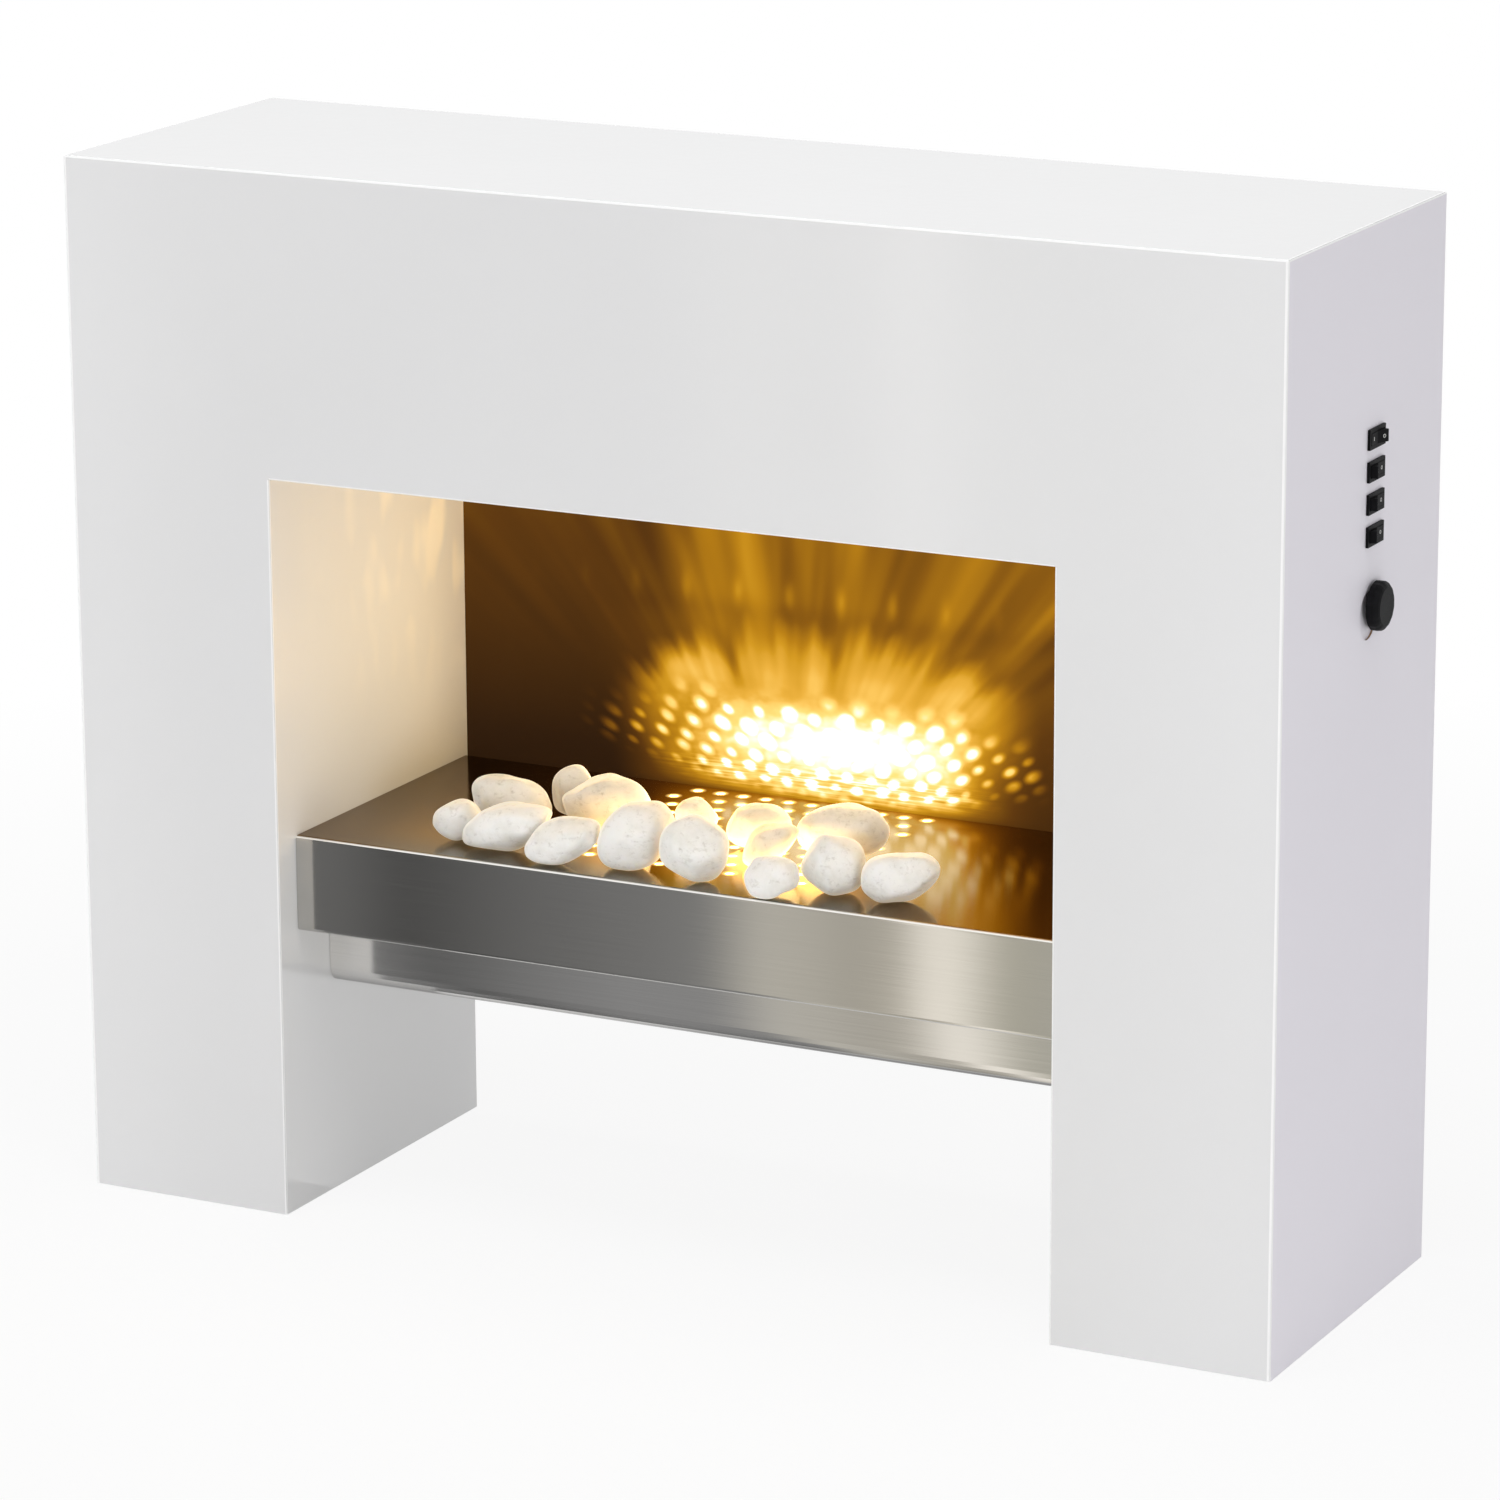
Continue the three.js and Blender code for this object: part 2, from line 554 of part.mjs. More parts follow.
// The scroll starts beside the duct's front wall and closes in on the impeller over its top. Two end
// plates stand a little proud of it.
function heaterHousing() {
  const [y, z] = FAN_AXIS;
  const spiral = (margin) => Array.from({ length: SCROLL_STEPS + 1 }, (_, i) => {
    const part = i / SCROLL_STEPS;
    const radius = THREE.MathUtils.lerp(y - OUTLET_Y[0], FAN_RADIUS + IMPELLER_GAP, part) + margin;
    return arc([y, z], radius, 180 - SCROLL_SWEEP * part, 0, 1)[0];
  });
  const foot = HEADER_FLOOR + FIT + HOUSING_SHEET;
  const throat = z - FAN_RADIUS - THROAT_GAP;
  const lengthwise = (line) => prism(
    'x',
    folded(line.map(([u, v]) => [u, v, 0.5]), HOUSING_SHEET, 1).outline,
    [-HEATER_HALF, HEATER_HALF],
  );
  const scroll = lengthwise([
    ...spiral(0).reverse(), [OUTLET_Y[0], foot], [OUTLET_Y[0] - FLANGE, foot],
  ]);
  const tongue = lengthwise([
    [OUTLET_Y[1] + FLANGE, foot], [OUTLET_Y[1], foot], [OUTLET_Y[1], throat],
    [OUTLET_Y[1] + 14, throat + 7],
  ]);
  const plate = [
    [OUTLET_Y[0] - END_MARGIN, foot - 0.4], [OUTLET_Y[1] + END_MARGIN, foot - 0.4],
    [OUTLET_Y[1] + END_MARGIN, throat - 4], ...arc([y, z], FAN_RADIUS + THROAT_GAP - 1, -65, 40, 6),
    ...spiral(END_MARGIN).reverse(),
  ];
  const ends = [-HEATER_HALF - 0.2, HEATER_HALF + 0.2 - HOUSING_SHEET].map((start) => (
    prism('x', plate, [start, start + HOUSING_SHEET])
  ));
  const bore = rod('x', 6, [-HEATER_HALF - 1, HEATER_HALF + 1], FAN_AXIS, 16);
  add('heater_housing', cut(join(scroll, tongue, ...ends), bore), GALVANISED);
}

const IMPELLER_SHAFT = 3;
const BLADE_RADIUS = 8;
const BLADE_THICKNESS = 0.8;
const DISC_THICKNESS = 2;

// Forward-curved blades: each is a thin arc between the inner and outer circle of the ring.
function fanImpeller() {
  const half = FAN_LENGTH / 2;
  const [y, z] = FAN_AXIS;
  const centre = [FAN_RADIUS - 9, -5];
  const section = [
    ...arc(centre, BLADE_RADIUS, 100, 20, 2), ...arc(centre, BLADE_RADIUS - BLADE_THICKNESS, 20, 100, 2),
  ];
  const blade = (angle) => {
    const [c, s] = [Math.cos(angle), Math.sin(angle)];
    const outline = section.map(([u, v]) => [y + u * c - v * s, z + u * s + v * c]);
    return prism('x', outline, [-half, half]);
  };
  const blades = Array.from({ length: FAN_BLADES }, (_, i) => blade((2 * Math.PI * i) / FAN_BLADES));
  const discs = [-half, -DISC_THICKNESS / 2, half - DISC_THICKNESS].map((start) => (
    rod('x', FAN_RADIUS - 0.5, [start, start + DISC_THICKNESS], FAN_AXIS, 24)
  ));
  const shaft = rod('x', IMPELLER_SHAFT, [-half - 16, half + 30], FAN_AXIS, 12);
  add('fan_impeller', join(...discs, shaft, ...blades), ALUMINIUM);
}

function fanDrive() {
  const [y, z] = FAN_AXIS;
  const face = -HEATER_HALF - 2 * FIT;
  const bearing = turned('x', [
    [IMPELLER_SHAFT + FIT, face - 10], [9, face - 10], [11, face - 4], [14, face - 4], [14, face],
    [IMPELLER_SHAFT + FIT, face], [IMPELLER_SHAFT + FIT, face - 10],
  ], FAN_AXIS);
  add('fan_bearing', bearing, BEIGE_PLASTIC);
  const start = HEATER_HALF + 2 * FIT;
  const stack = box([start + 9, start + 29], [y - 30, y + 30], [z - 34, z + 26]);
  const bell = turned('x', [
    [0, start], [13, start], [15, start + 2], [15, start + 10], [20, start + 12], [20, start + 34],
    [14, start + 40], [0, start + 40],
  ], FAN_AXIS);
  const coil = box([start + 4, start + 34], [y - 16, y + 16], [z - 42, z - 24]);
  const bore = rod('x', IMPELLER_SHAFT + FIT, [start - 1, start + 26], FAN_AXIS, 16);
  add('fan_motor', cut(join(stack, bell, coil), bore), GALVANISED);
}

const RIBBON_RUNS = 20;

// A corrugated resistance ribbon held between two mica rails, across the warm-air duct.
function heatingElement() {
  const [front, back] = [OUTLET_Y[0] + 2, OUTLET_Y[1] - 2];
  const [low, high] = [HEADER_FLOOR + 18, HEADER_FLOOR + 30];
  const half = HEATER_HALF - 4;
  const zigzag = Array.from({ length: RIBBON_RUNS }, (_, i) => {
    const x = (half - 4) * ((2 * i) / (RIBBON_RUNS - 1) - 1);
    const ends = i % 2 ? [back - 2, front + 2] : [front + 2, back - 2];
    return ends.map((y) => [x, y, 0.4]);
  }).flat();
  const ribbon = prism('z', folded(zigzag, 0.8, 1).outline, [low + 3, high - 3]);
  const rails = [[front, front + 4], [back - 4, back]].map((ys) => box([-half, half], ys, [low, high]));
  add('heating_element', join(ribbon, ...rails), MICA);
}

const SLAT_COUNT = 6;
const SLAT_PITCH = 8;

function outletGrille() {
  const [front, back] = [DUCT_SLOT.y[0] + FIT, DUCT_SLOT.y[1] - FIT];
  const half = DUCT_SLOT.x - FIT;
  const under = OPENING_TOP - FIT;
  const collar = cut(
    join(
      box([-half - 6, half + 6], [front - 6, back + 6], [under - 1.5, under]),
      box([-half, half], [front, back], [under - 1.5, HEADER_FLOOR - 2]),
    ),
    box([2 - half, half - 2], [front + 2, back - 2], [under - 3, HEADER_FLOOR]),
  );
  const slats = Array.from({ length: SLAT_COUNT }, (_, i) => {
    const y = front + (i + 1) * SLAT_PITCH;
    const outline = [[y, under - 0.5], [y + 0.8, under - 0.5], [y + 4.8, under + 9], [y + 4, under + 9]];
    return prism('x', outline, [1 - half, half - 1]);
  });
  add('outlet_grille', join(collar, ...slats), ALUMINIUM);
}

// ---------- Controls ----------

const SIDE_FACE = HALF_WIDTH + FIT;
const BEZEL_FACE = SIDE_FACE + 2;
const PIVOT_X = HALF_WIDTH - 2;
const PIN_RADIUS = 1.1;
const PIN_SIDES = 10;
const ROCKER_HALF = 11.5;
const CAVITY_HALF = [12.9, 4.9];   // along Y and Z
const SWITCH_BODY_HALF = [13.4, 6.1];

function switchBody(name, z) {
  const y = CONTROL_Y;
  const block = ([x0, x1], [halfY, halfZ]) => box([x0, x1], [y - halfY, y + halfY], [z - halfZ, z + halfZ]);
  const bezel = block([SIDE_FACE, BEZEL_FACE], [BEZEL[0] / 2, BEZEL[1] / 2]);
  const body = block([HALF_WIDTH - 22, SIDE_FACE + 1], SWITCH_BODY_HALF);
  const tabs = [-8, 0, 8].map((shift) => box(
    [HALF_WIDTH - 30, HALF_WIDTH - 21], [y + shift - 0.4, y + shift + 0.4], [z - 2.4, z + 2.4],
  ));
  const cavity = block([PIVOT_X - 8, BEZEL_FACE + 1], CAVITY_HALF);
  const pinHole = rod('z', PIN_RADIUS + FIT, [z - 7, z + 7], [PIVOT_X, y], PIN_SIDES);
  add(name, cut(join(bezel, body, ...tabs), cavity, pinHole), BLACK_PLASTIC);
}

// The rocker's face is a shallow V, so that the pressed half lies level with the bezel.
function rocker(name, z, pressed) {
  const slope = Math.tan(THREE.MathUtils.degToRad(ROCKER_TILT));
  const crest = BEZEL_FACE + 0.2 - PIVOT_X;
  const tip = crest + ROCKER_HALF * slope;
  const outline = [
    [-ROCKER_HALF, 1], [-5, -4], [5, -4], [ROCKER_HALF, 1], [ROCKER_HALF, tip - 0.5],
    [ROCKER_HALF - 0.5, tip], [0, crest], [0.5 - ROCKER_HALF, tip], [-ROCKER_HALF, tip - 0.5],
  ];
  const tilt = THREE.MathUtils.degToRad(ROCKER_TILT) * pressed;
  const [c, s] = [Math.cos(tilt), Math.sin(tilt)];
  const placed = outline.map(([u, v]) => [PIVOT_X + v * c - u * s, CONTROL_Y + u * c + v * s]);
  const key = prism('z', placed, [z - CAVITY_HALF[1] + 0.4, z + CAVITY_HALF[1] - 0.4]);
  const pins = rod('z', PIN_RADIUS, [z - 5.8, z + 5.8], [PIVOT_X, CONTROL_Y], PIN_SIDES);
  add(name, join(key, pins), BLACK_PLASTIC);
}

function switches() {
  switchHeights.forEach((z, i) => {
    switchBody(`switch_${i + 1}_body`, z);
    rocker(`switch_${i + 1}_rocker`, z, i === 0 ? -1 : 1);
  });
}

const PLATE_HALF = 36;
const SPINDLE_RADIUS = 3;
const FLUTE_DEPTH = 0.012;          // half the depth of a flute, as a share of the knob's radius

function thermostat() {
  const centre = [CONTROL_Y, KNOB_Z];
  const square = (half) => [
    [CONTROL_Y - half, CONTROL_Y + half], [KNOB_Z - half, KNOB_Z + half],
  ];
  const plateBack = HALF_WIDTH - BOARD - FIT - SHEET;
  const plate = box([plateBack, plateBack + SHEET], ...square(PLATE_HALF));
  const plateHole = rod('x', SPINDLE_HOLE, [plateBack - 1, plateBack + SHEET + 1], centre);
  add('thermostat_plate', cut(plate, plateHole), GALVANISED);
  const bodyFront = plateBack - FIT;
  const body = box([bodyFront - 26, bodyFront], ...square(17));
  const capsule = rod('x', 11, [bodyFront - 34, bodyFront - 25], centre, 20);
  const socket = rod('x', SPINDLE_RADIUS + FIT, [bodyFront - 14, bodyFront + 1], centre);
  add('thermostat_body', cut(join(body, capsule), socket), BEIGE_PLASTIC);
  const back = HALF_WIDTH + KNOB_GAP;
  const face = back + KNOB_THICKNESS;
  const levels = [
    [back, 0.95], [back + 0.8, 1], [face - 4, 1], [face - 2.2, 0.955], [face - 0.8, 0.87], [face, 0.77],
  ];
  const sides = KNOB_FLUTES * 3;
  const rings = levels.map(([, size]) => Array.from({ length: sides }, (_, i) => {
    const angle = (2 * Math.PI * i) / sides;
    const radius = KNOB_RADIUS * size * (1 - FLUTE_DEPTH * (1 + Math.cos(KNOB_FLUTES * angle)));
    return [CONTROL_Y + radius * Math.cos(angle), KNOB_Z + radius * Math.sin(angle)];
  }));
  const grip = skin(rings, (y, z, level) => [levels[level][0], y, z]);
  const neckStart = HALF_WIDTH - RECESS_DEPTH + 2 * FIT;
  const neck = rod('x', KNOB_NECK, [neckStart, back + 1], centre, 20);
  const spindle = rod('x', SPINDLE_RADIUS, [bodyFront - 12, neckStart + 1], centre);
  add('thermostat_knob', join(grip, neck, spindle), BLACK_PLASTIC);
}

function supply() {
  const [x, z] = GLAND_PLACE;
  const gland = turned('y', [
    [4.2, COVER_Y[0] - 10], [7.5, COVER_Y[0] - 10], [8.4, COVER_Y[0] - 1], [8.4, COVER_Y[1] + FIT],
    [12, COVER_Y[1] + FIT], [12, COVER_Y[1] + 3], [7, COVER_Y[1] + 10], [4.2, COVER_Y[1] + 10],
    [4.2, COVER_Y[0] - 10],
  ], [x, z]);
  add('cable_gland', gland, BLACK_PLASTIC);
  const [front, back] = [COVER_Y[0] - 22, COVER_Y[0] - FIT];
  const [low, high] = [z + 50, z + 72];
  const poles = [-20, 0, 20].map((shift) => x + shift);
  const block = join(
    box([x - 30, x + 30], [front + 6, back], [low, high]),
    ...poles.map((pole) => box([pole - 8, pole + 8], [front, front + 7], [low + 4, high - 4])),
  );
  const wells = poles.map((pole) => rod('z', 3, [low - 1, high + 1], [pole, front + 6], 12));
  add('terminal_block', cut(block, ...wells), BEIGE_PLASTIC);
}

// ---------- Pebbles ----------

// Each stone: centre X and Y, half sizes along its own axes, and the turn about the vertical.
const STONES = [
  [-207, -77, 20, 18, 15, 20],
  [-189, -26, 35, 22, 20, -6],
  [-155, -90, 38, 21, 20, 18],
  [-159, 20, 18, 17, 21, 30],
  [-116, -4, 35, 25, 23, 5],
  [-101, -106, 29, 20, 19, 18],
  [-46, -89, 29, 25, 26, 40],
  [13, -104, 28, 24, 25.5, 0],
  [-42, 2, 17, 18, 17, 0],
  [11, 2, 27, 20, 17, -12],
  [42, -43, 22, 19, 18.5, 35],
  [80, -112, 21, 17, 16, 0],
  [84, -1, 36, 25, 22, -6],
  [117, -84, 24.5, 24, 22.5, 0],
  [173, -84, 31, 23, 20, 0],
];
const LUMP = 0.07;                  // how far the waves push the surface, as a share of its radius
const FULLNESS = 2.3;               // the power of the stone's superellipsoid; 2 is an ellipsoid

// A full-bellied ball of facets pushed in and out by slow waves, stretched, turned and set on the shelf.
function pebble(name, [x, y, halfX, halfY, halfZ, turn], seed) {
  const stone = closed(new THREE.IcosahedronGeometry(1, 2));
  const points = stone.attributes.position;
  const point = new THREE.Vector3();
  for (let i = 0; i < points.count; i += 1) {
    point.fromBufferAttribute(points, i);
    const lumps = Math.sin(2.3 * point.x + seed) + Math.sin(2.9 * point.y + 2 * seed)
      + Math.sin(2.6 * point.z + 3 * seed);
    const power = point.toArray().reduce((sum, part) => sum + Math.abs(part) ** FULLNESS, 0);
    point.multiplyScalar((1 - LUMP * 0.3 + (LUMP * lumps) / 3) / power ** (1 / FULLNESS));
    points.setXYZ(i, point.x, point.y, point.z);
  }
  stone.scale(halfX, halfY, halfZ);
  stone.rotateZ(THREE.MathUtils.degToRad(turn));
  stone.computeBoundingBox();
  stone.translate(x, y, SHELF_TOP + FIT - stone.boundingBox.min.z);
  add(name, stone, QUARTZ);
}

// ---------- Assembly ----------

portal();
mantel();
outerSides();
openingLinings();
closingBoards();
fireback();
shelfTray();
lowerBox();
lamps();
flameSpinner();
spinnerSupports();
heaterHousing();
fanImpeller();
fanDrive();
heatingElement();
outletGrille();
switches();
thermostat();
supply();
STONES.forEach((stone, i) => pebble(`pebble_${String(i + 1).padStart(2, '0')}`, stone, i + 1));

export default fireplace;
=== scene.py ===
"""Finishes, stones, lit holes and small fittings of a free-standing electric fireplace.

Metres: X to the right, Y to the back, Z up, with the origin on the floor in the middle.
"""

import math

import bpy
import numpy as np
from mathutils import Matrix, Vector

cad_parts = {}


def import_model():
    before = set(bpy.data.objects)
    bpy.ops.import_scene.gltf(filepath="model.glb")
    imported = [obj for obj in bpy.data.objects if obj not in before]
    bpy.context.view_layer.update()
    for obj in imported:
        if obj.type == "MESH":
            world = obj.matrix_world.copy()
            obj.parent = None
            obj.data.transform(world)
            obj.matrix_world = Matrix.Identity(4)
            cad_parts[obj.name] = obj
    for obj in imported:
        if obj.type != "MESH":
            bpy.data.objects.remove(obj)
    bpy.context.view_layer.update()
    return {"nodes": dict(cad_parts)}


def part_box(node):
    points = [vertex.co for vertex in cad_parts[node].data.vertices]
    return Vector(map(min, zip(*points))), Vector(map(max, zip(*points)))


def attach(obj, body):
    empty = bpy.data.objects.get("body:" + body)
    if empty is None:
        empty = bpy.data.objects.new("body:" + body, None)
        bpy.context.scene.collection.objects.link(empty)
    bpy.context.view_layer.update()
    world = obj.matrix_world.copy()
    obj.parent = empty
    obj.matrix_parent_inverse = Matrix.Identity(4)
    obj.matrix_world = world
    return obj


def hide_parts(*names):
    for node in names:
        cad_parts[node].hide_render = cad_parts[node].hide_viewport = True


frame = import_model()

# ---------- Camera ----------

CAMERA_PLACE = (2.128, -4.142, 1.626)
CAMERA_LENS = 152.2
CAMERA_SENSOR = 36
CAMERA_YAW = math.radians(27.14)
CAMERA_PITCH = math.radians(15.02)
CAMERA_ROLL = math.radians(-0.29)


def add_camera():
    """A long lens at the front right, turned by yaw, then dipped by pitch, then rolled."""
    lens = bpy.data.cameras.new("camera")
    lens.lens = CAMERA_LENS
    lens.sensor_width = CAMERA_SENSOR
    camera = bpy.data.objects.new("camera", lens)
    turn = Matrix.Rotation(CAMERA_YAW, 4, "Z") @ Matrix.Rotation(math.pi / 2 - CAMERA_PITCH, 4, "X")
    camera.matrix_world = Matrix.Translation(CAMERA_PLACE) @ turn @ Matrix.Rotation(CAMERA_ROLL, 4, "Z")
    bpy.context.scene.collection.objects.link(camera)
    bpy.context.scene.camera = camera


add_camera()

# ---------- Places taken from the frame ----------


def span(node):
    """Lowest and highest corner of a node, as two numpy arrays."""
    low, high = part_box(node)
    return np.array(low), np.array(high)


SHELF_FRONT = float(span("shelf_tray")[0][1])
SHELF_TOP = float(span("shelf_tray")[1][2])
BOX_FRONT, BOX_BOTTOM = (float(value) for value in span("lower_box")[0][1:])
FIREBACK_FACE = float(span("fireback")[0][1])
OPENING_TOP = float(span("soffit_panel")[0][2])
OPENING_HALF = float(span("right_cheek")[0][0])
CABINET_FRONT = float(span("front_panel")[0][1])
CABINET_SIDE = float(span("top_panel")[1][0])
CABINET_TOP = float(span("top_panel")[1][2])
SIDE_FACE = float(span("right_side_panel")[1][0])
CONTROL_Y = float(sum(end[1] for end in span("thermostat_knob"))) / 2

# The shallow slot behind the knob, and the shelf's holes.
RECESS_RADIUS = 0.015
RECESS_DEPTH = 0.002
RECESS_Y = 0.011
RECESS_Z = (0.530, 0.536)
HOLE_RADIUS = 0.0044
HOLE_PITCH = (0.020, 0.022)
HOLE_FIELD_X = -0.012
FIRST_HOLE_ROW = -0.070
HOLE_ROWS = 10
HOLES_IN_ROW = 11
ROW_SHIFT = 0.25

# ---------- Signals: arithmetic on shader sockets ----------


class Signal:
    """A shader value. Signs and functions on signals add the Math nodes that work them out."""

    def __init__(self, finish, socket):
        self.finish = finish
        self.socket = socket

    def combine(self, operation, *others):
        """The result of a Math node on this signal and others."""
        node = self.finish.nodes.new("ShaderNodeMath")
        node.operation = operation
        for slot, value in zip(node.inputs, (self, *others)):
            self.finish.feed(slot, value)
        return Signal(self.finish, node.outputs[0])

    def __add__(self, other):
        return self.combine("ADD", other)

    def __sub__(self, other):
        return self.combine("SUBTRACT", other)

    def __mul__(self, other):
        return self.combine("MULTIPLY", other)

    def __truediv__(self, other):
        return self.combine("DIVIDE", other)

    def less_than(self, other):
        return self.combine("LESS_THAN", other)

    def more_than(self, other):
        return self.combine("GREATER_THAN", other)

    def power(self, other):
        return self.combine("POWER", other)

    def toward(self, other, share):
        """This signal at share 0, the other at share 1."""
        return self + (self * -1.0 + other) * share

    def bell(self, centre, width):
        """1 at the centre, falling off as a Gaussian of that width."""
        away = (self - centre) / width
        return (away * away * -1.0).combine("EXPONENT")

    def step(self, start, end):
        """0 before start, 1 after end, a smooth step between. Start may be past end."""
        node = self.finish.nodes.new("ShaderNodeMapRange")
        node.interpolation_type = "SMOOTHSTEP"
        self.finish.feed(node.inputs["Value"], self)
        node.inputs["From Min"].default_value = start
        node.inputs["From Max"].default_value = end
        return Signal(self.finish, node.outputs["Result"])


class Finish:
    """A material being made: a Principled surface and helpers that add the nodes feeding it."""

    def __init__(self, name, colour, roughness, metallic=0.0, **uniform):
        self.material = bpy.data.materials.new(name)
        self.material.use_nodes = True
        self.nodes = self.material.node_tree.nodes
        self.links = self.material.node_tree.links
        self.surface = self.nodes["Principled BSDF"]
        self.place = self.nodes.new("ShaderNodeTexCoord").outputs["Object"]
        self.set("Base Color", colour)
        self.set("Roughness", roughness)
        self.set("Metallic", metallic)
        for socket, value in uniform.items():
            self.set(socket.replace("_", " "), value)

    def feed(self, slot, value):
        """Links a signal or an output to an input, or sets a number or colour on it."""
        if isinstance(value, Signal):
            self.links.new(value.socket, slot)
        elif isinstance(value, bpy.types.NodeSocket):
            self.links.new(value, slot)
        elif isinstance(value, tuple) and len(value) == 3 and slot.type == "RGBA":
            slot.default_value = (*value, 1.0)
        else:
            slot.default_value = value

    def set(self, socket, value):
        """Feeds the surface's input of that name."""
        self.feed(self.surface.inputs[socket], value)

    def axes(self):
        """The place on the piece as three signals."""
        split = self.nodes.new("ShaderNodeSeparateXYZ")
        self.links.new(self.place, split.inputs[0])
        return [Signal(self, output) for output in split.outputs]

    def vector(self, x, y, z):
        """A place made of three signals or numbers."""
        join = self.nodes.new("ShaderNodeCombineXYZ")
        for slot, value in zip(join.inputs, (x, y, z)):
            self.feed(slot, value)
        return join.outputs[0]

    def stretched(self, scale):
        """The place with each axis multiplied by its own number, for streaks."""
        mapping = self.nodes.new("ShaderNodeMapping")
        mapping.inputs["Scale"].default_value = scale
        self.links.new(self.place, mapping.inputs["Vector"])
        return mapping.outputs[0]

    def noise(self, scale, detail=2.0, place=None, rough=0.5):
        """Soft random clouds, about scale of them to a metre."""
        node = self.nodes.new("ShaderNodeTexNoise")
        self.links.new(place or self.place, node.inputs["Vector"])
        node.inputs["Scale"].default_value = scale
        node.inputs["Detail"].default_value = detail
        node.inputs["Roughness"].default_value = rough
        return Signal(self, node.outputs["Fac"])

    def speckle(self, place):
        """A random value from 0 to 1 for each whole-number place."""
        node = self.nodes.new("ShaderNodeTexWhiteNoise")
        self.links.new(place, node.inputs["Vector"])
        return Signal(self, node.outputs["Value"])

    def ramp(self, signal, *stops):
        """Colours between stops of (position, colour)."""
        node = self.nodes.new("ShaderNodeValToRGB")
        self.feed(node.inputs["Fac"], signal)
        elements = node.color_ramp.elements
        while len(elements) < len(stops):
            elements.new(0.5)
        for element, (position, colour) in zip(elements, stops):
            element.position = position
            element.color = (*colour, 1.0)
        return node.outputs["Color"]

    def mix(self, share, one, two):
        """The first colour at share 0, the second at share 1."""
        node = self.nodes.new("ShaderNodeMix")
        node.data_type = "RGBA"
        self.feed(node.inputs["Factor"], share)
        self.feed(node.inputs[6], one)
        self.feed(node.inputs[7], two)
        return node.outputs[2]

    def scaled(self, colour, amount):
        """The colour times an amount."""
        node = self.nodes.new("ShaderNodeVectorMath")
        node.operation = "SCALE"
        self.feed(node.inputs[0], colour)
        self.feed(node.inputs["Scale"], amount)
        return node.outputs[0]

    def across_grain(self):
        """The direction in the surface square to a grain along X."""
        cross = self.nodes.new("ShaderNodeVectorMath")
        cross.operation = "CROSS_PRODUCT"
        facing = self.nodes.new("ShaderNodeNewGeometry")
        self.links.new(facing.outputs["Normal"], cross.inputs[0])
        cross.inputs[1].default_value = (1.0, 0.0, 0.0)
        return cross.outputs[0]

    def bump(self, height, depth, strength=1.0):
        """Relief from a height signal, whose unit is that depth in metres."""
        node = self.nodes.new("ShaderNodeBump")
        node.inputs["Strength"].default_value = strength
        node.inputs["Distance"].default_value = depth
        self.feed(node.inputs["Height"], height)
        self.set("Normal", node.outputs[0])


# ---------- Finishes ----------

WHITE = (0.80, 0.80, 0.805)
RAW_BOARD = (0.30, 0.17, 0.085)
LAMPLIGHT = (1.0, 0.66, 0.20)
STEEL = (0.56, 0.55, 0.53)
BRUSHED = 0.16
GRAIN_DEPTH = 0.000006
BOX_STEEL_LIT = (0.86, 0.85, 0.835)
BOX_LEAN = 0.0205
BOX_BEND = 0.011
SHELF_REFLECTED_GREY = (0.24, 0.225, 0.19)
SHELF_REFLECTED_GOLD = (0.50, 0.31, 0.09)
SHELF_REFLECTED_BROWN = (0.15, 0.088, 0.026)
SHELF_REFLECTED_AMBER = (0.32, 0.19, 0.05)
FOLD = 0.0016
EDGE_HIGHLIGHT = (0.97, 0.97, 0.97)
SIDE_LIT_WHITE = (0.84, 0.815, 0.875)
EASED_EDGE = 0.0016
FACE_REACH = 0.0004
PAINTED_RIM = 0.0003


def near(signal, value, reach):
    """1 within reach of a value, else 0."""
    return (signal - value).combine("ABSOLUTE").less_than(reach)


def edge_highlight_mask(finish):
    """1 along the cabinet's eased outer edges and round its opening, where a highlight is painted."""
    x, y, z = finish.axes()
    out = x.combine("ABSOLUTE")
    side = near(out, CABINET_SIDE, EASED_EDGE)
    top = near(z, CABINET_TOP, EASED_EDGE)
    front = near(y, CABINET_FRONT, EASED_EDGE)
    jamb = near(out, OPENING_HALF, EASED_EDGE) * z.less_than(OPENING_TOP)
    head = near(z, OPENING_TOP, EASED_EDGE) * out.less_than(OPENING_HALF)
    rim = front * (jamb + head)
    return (side * top + side * front + top * front + rim).more_than(0.5)


def lacquer(name, colour=WHITE, roughness=0.14, coat=0.2):
    """White lacquer: near-flat, with a faint waviness, and a painted highlight along its edges."""
    finish = Finish(name, colour, roughness, Coat_Weight=coat, Coat_Roughness=0.04)
    cloud = finish.noise(3.5, 2.0)
    deep = tuple(0.983 * value for value in colour)
    field = finish.ramp(cloud, (0.3, deep), (0.7, colour))
    edges = edge_highlight_mask(finish)
    # A painted highlight: the eased edges are painted near white.
    finish.set("Base Color", finish.mix(edges, field, EDGE_HIGHLIGHT))
    finish.set("Roughness", finish.noise(9.0, 3.0) * 0.08 + (roughness - 0.04))
    finish.bump(finish.noise(90.0, 2.0), 0.00004)
    return finish


